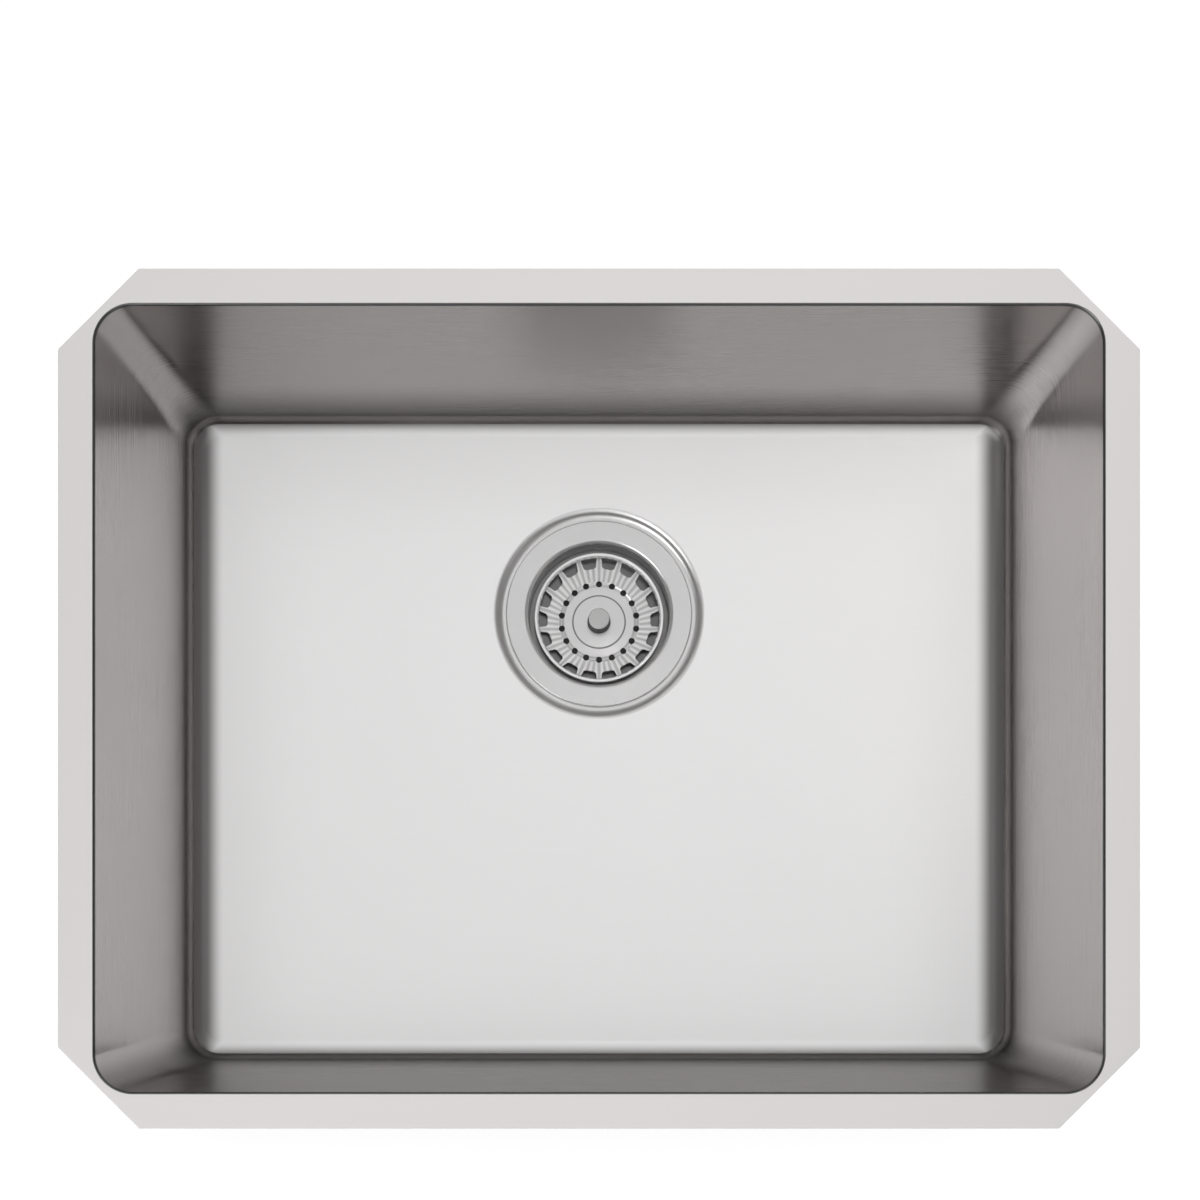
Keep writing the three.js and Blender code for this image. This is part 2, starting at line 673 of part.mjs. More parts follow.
const stopperPlate = ring(stemBore, STOPPER_PLATE_RADIUS, plateEnd, plateTop, NARROW_FACETS);
const sealWasher = ring(
  stemBore,
  SEAL_WASHER_RADIUS,
  sealWasherTop - SEAL_WASHER_THICKNESS,
  sealWasherTop,
  SMALL_FACETS,
);
const stemNut = ring(0, stemNutRadius, stemNutTop - STEM_NUT_HEIGHT, stemNutTop, STEM_NUT_FACES)
  .subtract(ring(0, stemBore, clipEnd, stemTop, SMALL_FACETS));
drain.add(toMesh('basket_cup', basketCup(), finishes.polishedSteel()));
drain.add(toMesh('basket_knob', basketKnob(), finishes.darkSteel()));
drain.add(toMesh('basket_stem', basketStem(), finishes.polishedSteel()));
drain.add(toMesh('stopper_plate', stopperPlate, finishes.polishedSteel()));
drain.add(toMesh('stopper_seal', stopperSeal(), finishes.sealRubber()));
drain.add(toMesh('seal_washer', sealWasher, finishes.polishedSteel()));
drain.add(toMesh('stem_nut', stemNut, finishes.polishedSteel()));
drain.add(toMesh('stem_clip', stemClip(), finishes.whitePlastic()));

export default sink;
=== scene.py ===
"""Looks of the undermount kitchen sink: its dressed pieces, a plain studio and the camera.

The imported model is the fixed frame. Blender works in metres; the sizes in this file are in
millimetres and are scaled where a mesh is made. +Z is up and +Y points to the back. The origin
is the centre of the opening, in the plane of the flange's top.
"""

from __future__ import annotations

import logging
import math
from collections.abc import Callable, Iterable, Sequence
from dataclasses import dataclass, field
from enum import Enum

import bpy
import numpy as np
from mathutils import Matrix, Vector

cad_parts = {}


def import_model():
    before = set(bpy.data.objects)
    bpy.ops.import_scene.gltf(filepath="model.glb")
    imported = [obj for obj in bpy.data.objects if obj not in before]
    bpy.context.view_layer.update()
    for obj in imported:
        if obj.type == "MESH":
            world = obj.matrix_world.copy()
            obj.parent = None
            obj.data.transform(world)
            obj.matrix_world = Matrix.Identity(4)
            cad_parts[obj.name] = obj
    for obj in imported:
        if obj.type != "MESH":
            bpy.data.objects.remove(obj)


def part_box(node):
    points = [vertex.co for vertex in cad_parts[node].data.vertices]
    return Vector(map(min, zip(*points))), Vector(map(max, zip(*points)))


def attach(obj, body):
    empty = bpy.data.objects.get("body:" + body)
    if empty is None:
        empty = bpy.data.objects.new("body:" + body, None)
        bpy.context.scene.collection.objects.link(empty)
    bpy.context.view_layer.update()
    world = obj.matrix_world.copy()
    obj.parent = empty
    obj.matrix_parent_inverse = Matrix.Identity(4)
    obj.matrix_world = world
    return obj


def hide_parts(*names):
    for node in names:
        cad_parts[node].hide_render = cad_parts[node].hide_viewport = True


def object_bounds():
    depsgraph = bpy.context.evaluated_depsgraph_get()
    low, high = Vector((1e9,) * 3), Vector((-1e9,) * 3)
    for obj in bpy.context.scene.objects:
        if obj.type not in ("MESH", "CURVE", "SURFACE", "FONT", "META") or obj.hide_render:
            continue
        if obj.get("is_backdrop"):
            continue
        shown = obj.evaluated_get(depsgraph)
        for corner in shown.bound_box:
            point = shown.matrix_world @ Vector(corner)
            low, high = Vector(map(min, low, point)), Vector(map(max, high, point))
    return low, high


log = logging.getLogger("sink")

Piece = bpy.types.Object
Pair = tuple[float, float]
Triple = tuple[float, float, float]
Colour = tuple[float, float, float, float]

MM = 0.001
EIGHTH = math.pi / 4
QUARTER = math.pi / 2
TURN = 2 * math.pi
QUADRANTS = ((1, 1), (-1, 1), (-1, -1), (1, -1))  # signs of x and y, counter-clockwise
ON_AXIS = 1e-6  # a point nearer to the axis than this is a pole
STRAIGHT = 0.01  # a bend of fewer radians isn't rounded
ROOM = 0.45  # share of a side that the rounding at one of its ends may take
EDGE = 0.2  # rounding of a corner that has none of its own
ARC_STEP = math.radians(18)  # largest turn between two points of a rounding
SPARE = 2.0  # how far a cutting tool reaches past its piece
CRISP = 25.0  # a nut's edge that bends by more degrees than this stays crisp
QUARTER_ROUND = 0.25  # a quarter of a turn, as the shader counts turns
BLUE_LOSS = 0.3  # blue that a warm grey loses, as a share of the red that it gains


class Body(Enum):
    """The bodies that a piece can ride on."""

    SINK = "sink"
    STOPPER = "stopper"
    BASKET = "basket"


class Slot(Enum):
    """The material slots."""

    SATIN = "satin_steel"
    POLISHED = "polished_steel"
    KNOB = "knob_steel"
    PAD = "pad_rubber"
    SEAL = "seal_rubber"
    FIBRE = "fibre"
    PLASTIC = "white_plastic"
    ZINC = "cast_zinc"


class Grain(Enum):
    """Which way a finish's fine lines run."""

    LEVEL = "round the walls"
    ACROSS = "from side to side on the flat"
    TURNED = "in circles round the drain"


class Cut(Enum):
    """What a ring of copies does to the piece that it belongs to."""

    AWAY = "DIFFERENCE"
    ONTO = "UNION"


# ---- Shader nodes as Python expressions


Value = "Wire | float | Sequence[float]"


@dataclass(frozen=True)
class Wire:
    """An output socket that can be used in an expression.

    Args:
        board: the board that holds the node.
        socket: the output socket.
    """

    board: "Board"
    socket: bpy.types.NodeSocket

    def _math(self, operation: str, *values: Value) -> "Wire":
        """Adds a Math node with the given operation and values."""
        kind = self.board.math_kind
        return self.board.node(kind, {"operation": operation}, dict(enumerate(values)))

    def __add__(self, other: Value) -> "Wire":
        """This value plus another."""
        return self._math("ADD", self, other)

    __radd__ = __add__

    def __sub__(self, other: Value) -> "Wire":
        """This value less another."""
        return self._math("SUBTRACT", self, other)

    def __rsub__(self, other: Value) -> "Wire":
        """Another value less this one."""
        return self._math("SUBTRACT", other, self)

    def __mul__(self, other: Value) -> "Wire":
        """This value times another."""
        return self._math("MULTIPLY", self, other)

    __rmul__ = __mul__

    def __truediv__(self, other: Value) -> "Wire":
        """This value divided by another."""
        return self._math("DIVIDE", self, other)

    def power(self, exponent: float) -> "Wire":
        """This value to a power."""
        return self._math("POWER", self, exponent)

    def size(self) -> "Wire":
        """This value without its sign."""
        return self._math("ABSOLUTE", self)

    def larger(self, other: Value) -> "Wire":
        """The larger of this value and another."""
        return self._math("MAXIMUM", self, other)

    def step(self, low: float, high: float) -> "Wire":
        """A smooth step from 0 at low to 1 at high."""
        settings = {"interpolation_type": "SMOOTHSTEP"}
        return self.board.node("ShaderNodeMapRange", settings, {0: self, 1: low, 2: high})


class Board:
    """A node tree that is filled by one method.

    Args:
        tree: the node tree, which is emptied first.
        math_kind: the type of its Math nodes.
    """

    math_kind = "ShaderNodeMath"

    def __init__(self, tree: bpy.types.NodeTree) -> None:
        """Takes an empty tree."""
        self.tree = tree
        tree.nodes.clear()

    def node(
        self,
        kind: str,
        settings: dict[str, object] | None = None,
        inputs: dict[int | str, Value] | None = None,
        output: int | str = 0,
    ) -> Wire:
        """Adds a node.

        Args:
            kind: the node's type.
            settings: attributes that are set first.
            inputs: values or wires by the socket's name or number.
            output: the output socket to return.

        Returns:
            The output socket as a wire.
        """
        made = self.tree.nodes.new(kind)
        for name, value in (settings or {}).items():
            setattr(made, name, value)
        for key, value in (inputs or {}).items():
            if isinstance(value, Wire):
                self.tree.links.new(value.socket, made.inputs[key])
            elif value is not None:
                made.inputs[key].default_value = value
        sockets = made.outputs
        return Wire(self, sockets[output]) if len(sockets) else Wire(self, None)

    def mix(self, share: Value, low: Value, high: Value) -> Wire:
        """A colour between two colours."""
        settings = {"data_type": "RGBA", "clamp_factor": True}
        return self.node("ShaderNodeMix", settings, {0: share, 6: low, 7: high}, 2)

    def noise(self, place: Wire, scale: float, detail: float = 2.0, rough: float = 0.5) -> Wire:
        """Soft noise from 0 to 1 at a place."""
        inputs = {"Vector": place, "Scale": scale, "Detail": detail, "Roughness": rough}
        return self.node("ShaderNodeTexNoise", None, inputs)

    def stretched(self, place: Wire, scale: Sequence[float]) -> Wire:
        """A place scaled by a different number along each axis."""
        return self.node("ShaderNodeMapping", None, {"Vector": place, "Scale": scale})

    def bump(self, height: Wire, strength: float, distance: float) -> Wire:
        """A normal bent by a height, with the distance in metres."""
        inputs = {"Height": height, "Strength": strength, "Distance": distance}
        return self.node("ShaderNodeBump", None, inputs)


# ---- Finishes


def grey(level: float, warmth: float = 0.0) -> Colour:
    """A nearly neutral colour, a little warmer or cooler."""
    return (level + warmth, level, level - warmth * BLUE_LOSS, 1.0)


def axes(board: Board, place: Wire, names: str) -> list[Wire]:
    """The parts of a place or a direction along the named axes."""
    return [board.node("ShaderNodeSeparateXYZ", None, {0: place}, name) for name in names]


@dataclass(frozen=True)
class Finish:
    """A finish that is one material.

    Args:
        title: the material's name.
        level: how much light it returns when seen straight on.
        roughness: mean blur of its reflections.
        blur_spread: how much that blur varies from place to place.
        spread: its darkest and palest tone, as shares of its level.
        warmths: how much warmer than neutral these two tones are.
    """

    title: str
    level: float = 0.5
    roughness: float = 0.5
    blur_spread: float = 0.1
    spread: Pair = (0.97, 1.03)
    warmths: Pair = (0.0, 0.0)

    def material(self) -> bpy.types.Material:
        """Makes the material, or returns it if it exists.

        Returns:
            The material with this finish's nodes.
        """
        found = bpy.data.materials.get(self.title)
        if found:
            return found
        made = bpy.data.materials.new(self.title)
        made.use_nodes = True
        board = Board(made.node_tree)
        place = board.node("ShaderNodeTexCoord", output="Object")
        surface = board.node("ShaderNodeBsdfPrincipled", None, self.shade(board, place))
        board.node("ShaderNodeOutputMaterial", None, {"Surface": surface})
        return made

    def tones(self, scale: float = 1.0) -> tuple[Colour, Colour]:
        """Its darkest and its palest colour, with their brightness scaled.

        Args:
            scale: the factor on their brightness and warmth.

        Returns:
            The two colours.
        """
        dark, pale = (
            grey(self.level * scale * share, warmth * scale)
            for share, warmth in zip(self.spread, self.warmths)
        )
        return dark, pale

    def blur(self, share: Wire) -> Wire:
        """The roughness where a variation from 0 to 1 has the given value."""
        return (share - 0.5) * self.blur_spread + self.roughness

    def shade(self, board: Board, place: Wire) -> dict[str, Value]:
        """The shader's inputs. Each finish has its own."""
        raise NotImplementedError


@dataclass(frozen=True)
class BrushedSteel(Finish):
    """Satin stainless steel with fine brushing lines.

    Args:
        grain: which way the lines run.
        metal: share of the light that it mirrors. The fine scratches scatter the rest.
        anisotropy: how much more the blur spreads across the lines than along them.
        edge: how much of the light it mirrors when seen at a low angle.
        line_depth: height of the lines in metres.
        fine: how fast the pattern changes across the lines, in changes to a metre.
        slow: how fast it changes along them.
        cloud_share: how much of the variation is slow clouds and not lines.
    """

    blur_spread: float = 0.08
    spread: Pair = (0.965, 1.035)
    warmths: Pair = (0.003, 0.003)
    grain: Grain = Grain.ACROSS
    metal: float = 1.0
    anisotropy: float = 0.0
    edge: float = 1.0
    line_depth: float = 2e-6
    fine: float = 2600.0
    slow: float = 14.0
    cloud_share: float = 0.4

    def lines(self, board: Board, place: Wire) -> Wire:
        """Noise drawn out along the lines.

        Args:
            board: the nodes.
            place: the point.

        Returns:
            The lines' height from 0 to 1.
        """
        scales = {
            Grain.LEVEL: (self.slow, self.slow, self.fine),
            Grain.ACROSS: (self.slow, self.fine, self.slow),
            Grain.TURNED: (self.fine, self.fine, self.slow),
        }
        stretched = board.stretched(place, scales[self.grain])
        return board.noise(stretched, scale=1.0, detail=3.0, rough=0.6)

    def tone(self, board: Board, place: Wire, share: Wire) -> Wire:
        """The colour at a place, between the darkest and the palest tone."""
        return board.mix(share, *self.tones())

    def shade(self, board: Board, place: Wire) -> dict[str, Value]:
        """Steel whose tone and blur vary a little along the brushing lines.

        Args:
            board: the nodes.
            place: the point.

        Returns:
            The shader's inputs.
        """
        lines = self.lines(board, place)
        cloud = board.noise(place, scale=9.0, detail=3.0)
        share = lines * (1.0 - self.cloud_share) + cloud * self.cloud_share
        return {
            "Base Color": self.tone(board, place, share),
            "Metallic": self.metal,
            "Roughness": self.blur(share),
            "Anisotropic": self.anisotropy,
            "Anisotropic Rotation": QUARTER_ROUND if self.grain is Grain.LEVEL else 0.0,
            "Specular Tint": grey(self.edge),
            "Normal": board.bump(lines, strength=0.25, distance=self.line_depth),
        }


@dataclass(frozen=True)
class WallSteel(BrushedSteel):
    """Brushed steel of the bowl's walls, with painted shade at the foot, back, front and upper
    edge.

    Args:
        back_painted_shade_level: how much light the back wall returns, a painted shade of the
            side walls' tone.
        front_painted_shade_level: how much light the front wall returns, a painted shade of the
            side walls' tone.
        ends: distances from the middle where the back's and front's painted shade starts, and
            where it is full.
        side_shade_depths: depths where the painted shade at the side walls' foot starts, and
            where it is full.
        end_shade_depths: the same for the back and front walls.
        foot_shade_share: share of the tone that the painted shade at the foot leaves.
        lip: depths between which the painted shade along the upper edge fades.
        lip_shade_level: how much light that painted shade returns.
    """

    back_painted_shade_level: float = 0.42
    front_painted_shade_level: float = 0.3
    ends: Pair = (0.176, 0.190)
    side_shade_depths: Pair = (0.174, 0.192)
    end_shade_depths: Pair = (0.125, 0.180)
    foot_shade_share: float = 0.5
    lip: Pair = (0.0012, 0.0024)
    lip_shade_level: float = 0.12

    def tone(self, board: Board, place: Wire, share: Wire) -> Wire:
        """The side walls' tone with painted shade on the back, the front, the foot and the upper
        edge.

        Args:
            board: the nodes.
            place: the point.
            share: the variation from 0 to 1.

        Returns:
            The colour.
        """
        along, drop = axes(board, place, "YZ")
        across, down = along.size(), drop.size()
        # painted shade at the walls' foot, where they bend into the floor
        side_shaded = down.step(*self.side_shade_depths)
        end_shaded = down.step(*self.end_shade_depths)

        def blend(level: float, low: Wire) -> Wire:
            """One wall's tone, with painted shade down to its foot.

            Args:
                level: how much light the wall returns; lower for the painted shade of the back
                    and front.
                low: the painted shade at the foot, 0 above it and 1 at it.

            Returns:
                The colour.
            """
            scale = level / self.level
            # the painted shade at this wall's foot
            foot = grey(level * self.foot_shade_share, self.warmths[0] * scale * self.foot_shade_share)
            return board.mix(low, board.mix(share, *self.tones(scale)), foot)

        sides = blend(self.level, side_shaded)
        # painted shade on the back and front walls: darker copies of the side walls' tone
        back, front = blend(self.back_painted_shade_level, end_shaded), blend(self.front_painted_shade_level, end_shaded)
        end = board.mix(along.step(-self.ends[0], self.ends[0]), front, back)
        wall = board.mix(across.step(*self.ends), sides, end)
        # painted shade along the upper edge, where the opening bends over
        return board.mix(down.step(*self.lip), grey(self.lip_shade_level), wall)


@dataclass(frozen=True)
class FloorSteel(BrushedSteel):
    """Brushed steel of the bowl's floor, with painted shade where it bends up into the walls.

    Args:
        side_shade_reach: distances from the middle where the painted shade at the floor's edge
            starts, and where it is full, at the left and right.
        end_shade_reach: the same at the back and front.
        floor_shade_level: how much light that painted shade returns.
        floor_shade_warmth: how much warmer than neutral that painted shade is.
    """

    side_shade_reach: Pair = (0.229, 0.2415)
    end_shade_reach: Pair = (0.184, 0.196)
    floor_shade_level: float = 0.1
    floor_shade_warmth: float = 0.004

    def tone(self, board: Board, place: Wire, share: Wire) -> Wire:
        """The floor's tone, blended into the painted shade at its edge.

        Args:
            board: the nodes.
            place: the point.
            share: the variation from 0 to 1.

        Returns:
            The colour.
        """
        side, end = (part.size() for part in axes(board, place, "XY"))
        # painted shade where the floor bends up into the walls
        rim = side.step(*self.side_shade_reach).larger(end.step(*self.end_shade_reach))
        flat = super().tone(board, place, share)
        return board.mix(rim, flat, grey(self.floor_shade_level, self.floor_shade_warmth))


@dataclass(frozen=True)
class PolishedSteel(Finish):
    """Bright steel with faint wiping marks.

    Args:
        metal: share of the light that it mirrors. Fine wear scatters the rest.
        mark_scale: how fast the wiping marks change along X, Y and Z.
    """

    warmths: Pair = (0.003, 0.002)
    metal: float = 1.0
    mark_scale: Triple = (60.0, 60.0, 220.0)

    def shade(self, board: Board, place: Wire) -> dict[str, Value]:
        """Steel with faint marks in its gloss.

        Args:
            board: the nodes.
            place: the point.

        Returns:
            The shader's inputs.
        """
        stretched = board.stretched(place, self.mark_scale)
        marks = board.noise(stretched, scale=1.0, detail=4.0, rough=0.65)
        cloud = board.noise(place, scale=35.0)
        return {
            "Base Color": board.mix(cloud, *self.tones()),
            "Metallic": self.metal,
            "Roughness": self.blur(marks),
            "Normal": board.bump(marks, strength=0.15, distance=4e-6),
        }


@dataclass(frozen=True)
class PleatedSteel(PolishedSteel):
    """Bright steel with a finely pleated slope, a painted highlight on it and painted shade in
    its pleats and the hub's groove.

    Args:
        middle: the drain's axis in metres.
        slope: radii in metres where the slope starts, and where it ends.
        slope_fade: radial width over which it starts and ends.
        slope_highlight_level: how much light the painted highlight on the slope returns.
        slope_metal: share of the light that the slope mirrors.
        trough: the painted shade at the bottom of a pleat, as a share of the highlight's tone.
        pleats: how many pleats go round.
        pleat_depth: height of the pleats in metres.
        groove: radii of the painted shade in the groove round the hub, in metres.
        groove_fade: radial width over which that painted shade starts and ends.
        groove_shade_level: how much light that painted shade returns.
    """

    middle: Pair = (0.0, 0.077)
    slope: Pair = (0.0245, 0.0372)
    slope_fade: float = 0.001
    slope_highlight_level: float = 0.95
    slope_metal: float = 0.15
    trough: float = 0.6
    pleats: int = 54
    pleat_depth: float = 2.4e-4
    groove: Pair = (0.0161, 0.0168)
    groove_fade: float = 0.0003
    groove_shade_level: float = 0.2

    def shade(self, board: Board, place: Wire) -> dict[str, Value]:
        """Steel with a painted highlight on the slope, painted light and shade on its pleats and
        painted shade in the hub's groove.

        Args:
            board: the nodes.
            place: the point.

        Returns:
            The shader's inputs.
        """
        parts = super().shade(board, place)
        x, y = (
            part - shift for part, shift in zip(axes(board, place, "XY"), self.middle)
        )
        radius = (x * x + y * y).power(0.5)
        start, end = self.slope
        # painted highlight on the slope and everything outside it
        pale = radius.step(start, start + self.slope_fade)
        share = pale * (1.0 - radius.step(end, end + self.slope_fade))
        turn = board.node("ShaderNodeMath", {"operation": "ARCTAN2"}, {0: y, 1: x})
        angle = turn * float(self.pleats)
        wave = board.node("ShaderNodeMath", {"operation": "COSINE"}, {0: angle}) * share
        # painted light on the pleats' crests and painted shade in their troughs
        trough, crest = grey(self.slope_highlight_level * self.trough), grey(self.slope_highlight_level)
        slope = board.mix(wave * 0.5 + 0.5, trough, crest)
        # painted shade in the groove round the hub
        inner, outer = self.groove
        before = radius.step(inner - self.groove_fade, inner)
        groove = before * (1.0 - radius.step(outer, outer + self.groove_fade))
        hub = board.mix(groove, parts["Base Color"], grey(self.groove_shade_level))
        parts["Base Color"] = board.mix(pale, hub, slope)
        parts["Metallic"] = pale * (self.slope_metal - self.metal) + self.metal
        parts["Normal"] = board.bump(wave, strength=1.0, distance=self.pleat_depth)
        return parts


@dataclass(frozen=True)
class BlastedSteel(Finish):
    """Matt steel with an even grain of tiny pits and painted shade on its side.

    Args:
        side: how much light the painted shade on its side returns.
        top: height in metres where its top starts.
        fade: height over which the painted shade on the side ends below the top.
    """

    blur_spread: float = 0.12
    spread: Pair = (0.93, 1.07)
    warmths: Pair = (0.002, 0.002)
    side: float = 0.03
    top: float = -0.2188
    fade: float = 0.0004

    def shade(self, board: Board, place: Wire) -> dict[str, Value]:
        """Steel with pits in its tone and relief, and painted shade on its side.

        Args:
            board: the nodes.
            place: the point.

        Returns:
            The shader's inputs.
        """
        pits = board.noise(place, scale=4200.0, rough=0.6)
        (height,) = axes(board, place, "Z")
        # painted shade on the knob's side, below its top
        above = height.step(self.top - self.fade, self.top)
        return {
            "Base Color": board.mix(above, grey(self.side), board.mix(pits, *self.tones())),
            "Metallic": 1.0,
            "Roughness": self.blur(pits),
            "Normal": board.bump(pits, strength=0.4, distance=2e-5),
        }


@dataclass(frozen=True)
class Rubber(Finish):
    """Rubber with a dull mottled skin.

    Args:
        specks: how many specks fit in a metre.
        relief: height of the specks in metres.
    """

    blur_spread: float = 0.2
    spread: Pair = (0.7, 1.3)
    warmths: Pair = (-0.001, -0.001)
    specks: float = 900.0
    relief: float = 6e-5

    def shade(self, board: Board, place: Wire) -> dict[str, Value]:
        """Dark skin with specks and slow patches of dust.

        Args:
            board: the nodes.
            place: the point.

        Returns:
            The shader's inputs.
        """
        specks = board.noise(place, scale=self.specks, detail=3.0, rough=0.6)
        dust = board.noise(place, scale=22.0, detail=4.0, rough=0.6)
        return {
            "Base Color": board.mix(specks * 0.5 + dust * 0.5, *self.tones()),
            "Roughness": self.blur(dust),
            "Normal": board.bump(specks, strength=0.6, distance=self.relief),
        }


@dataclass(frozen=True)
class PressedFibre(Finish):
    """Hard fibre board with short threads in it.

    Args:
        colour: its mean colour.
        thread_scale: how fast the threads change along X, Y and Z.
    """

    blur_spread: float = 0.2
    spread: Pair = (0.75, 1.2)
    colour: Triple = (0.56, 0.48, 0.36)
    thread_scale: Triple = (500.0, 1500.0, 900.0)

    def shade(self, board: Board, place: Wire) -> dict[str, Value]:
        """Pale board with darker threads.

        Args:
            board: the nodes.
            place: the point.

        Returns:
            The shader's inputs.
        """
        stretched = board.stretched(place, self.thread_scale)
        threads = board.noise(stretched, scale=1.0, detail=4.0, rough=0.7)
        dark, pale = ((*(share * part for part in self.colour), 1.0) for share in self.spread)
        return {
            "Base Color": board.mix(threads, dark, pale),
            "Roughness": self.blur(threads),
            "Normal": board.bump(threads, strength=0.5, distance=5e-5),
        }


@dataclass(frozen=True)
class MouldedPlastic(Finish):
    """Smooth pale plastic with a faint cloud of flow marks."""

    blur_spread: float = 0.15
    spread: Pair = (0.96, 1.04)
    warmths: Pair = (0.012, 0.006)

    def shade(self, board: Board, place: Wire) -> dict[str, Value]:
        """Pale plastic with slow changes in tone and gloss.

        Args:
            board: the nodes.
            place: the point.

        Returns:
            The shader's inputs.
        """
        flow = board.noise(place, scale=160.0, detail=3.0)
        return {
            "Base Color": board.mix(flow, *self.tones()),
            "Roughness": self.blur(flow),
            "Normal": board.bump(flow, strength=0.2, distance=3e-5),
        }


@dataclass(frozen=True)
class CastZinc(Finish):
    """Die-cast zinc: dull metal with a fine cast skin.

    Args:
        stain_share: how much of the variation is slow stains and not the skin.
    """

    blur_spread: float = 0.25
    spread: Pair = (0.82, 1.15)
    warmths: Pair = (-0.004, -0.002)
    stain_share: float = 0.6

    def shade(self, board: Board, place: Wire) -> dict[str, Value]:
        """Cast skin with specks and slow stains.

        Args:
            board: the nodes.
            place: the point.

        Returns:
            The shader's inputs.
        """
        skin = board.noise(place, scale=1300.0, detail=3.0, rough=0.6)
        stain = board.noise(place, scale=60.0, detail=4.0, rough=0.6)
        share = skin * (1.0 - self.stain_share) + stain * self.stain_share
        return {
            "Base Color": board.mix(share, *self.tones()),
            "Metallic": 1.0,
            "Roughness": self.blur(share),
            "Normal": board.bump(skin, strength=0.5, distance=4e-5),
        }


@dataclass(frozen=True)
class Finishes:
    """Every finish of the sink, named for where it is."""

    flange: Finish = BrushedSteel(
        "satin steel, flange", level=0.56, roughness=0.3, warmths=(0.016, 0.016), metal=0.5
    )
    flat: Finish = FloorSteel("satin steel, flat", level=0.75, roughness=0.3, metal=0.15)
    wall: Finish = WallSteel(
        "satin steel, walls",
        level=0.69,
        roughness=0.28,
        warmths=(0.036, 0.036),
        grain=Grain.LEVEL,
        anisotropy=0.8,
        edge=0.7,
    )
    recess: Finish = BrushedSteel(
        "satin steel, recess", level=0.6, roughness=0.34, grain=Grain.TURNED, metal=0.75
    )
    turned: Finish = PolishedSteel(
        "polished steel, turned", level=0.54, roughness=0.18, metal=0.55
    )
    bright: Finish = PleatedSteel(
        "polished steel, bright", level=0.52, roughness=0.14, metal=0.4
    )
    knob: Finish = BlastedSteel("blasted steel", level=0.55, roughness=0.5)
    pad: Finish = Rubber("pad rubber", level=0.05, roughness=0.75, specks=700.0)
    seal: Finish = Rubber("seal rubber", level=0.02, roughness=0.5, specks=1500.0)
    fibre: Finish = PressedFibre("pressed fibre", roughness=0.8)
    plastic: Finish = MouldedPlastic("moulded plastic", level=0.74, roughness=0.425)
    zinc: Finish = CastZinc("cast zinc", level=0.46, roughness=0.465)


FINISH = Finishes()


# ---- Meshes


def box_mm(node: str) -> tuple[np.ndarray, np.ndarray]:
    """The lowest and highest corner of a CAD node, in millimetres."""
    low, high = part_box(node)
    return np.array(low) / MM, np.array(high) / MM


def radius_of(node: str) -> float:
    """The outer radius of a CAD node round the drain's axis, in millimetres."""
    low, high = box_mm(node)
    return float(high[0] - low[0]) / 2


def levels_of(node: str) -> Pair:
    """The lowest and highest level of a CAD node, in millimetres."""
    low, high = box_mm(node)
    return float(low[2]), float(high[2])


def arc(centre: Sequence[float], radius: float, angles: Iterable[float]) -> list[tuple]:
    """Points on a circle.

    Args:
        centre: its x and y.
        radius: its radius.
        angles: the points' angles.

    Returns:
        Rows of x, y and angle.
    """
    x, y = centre
    return [(x + radius * math.cos(a), y + radius * math.sin(a), a) for a in angles]


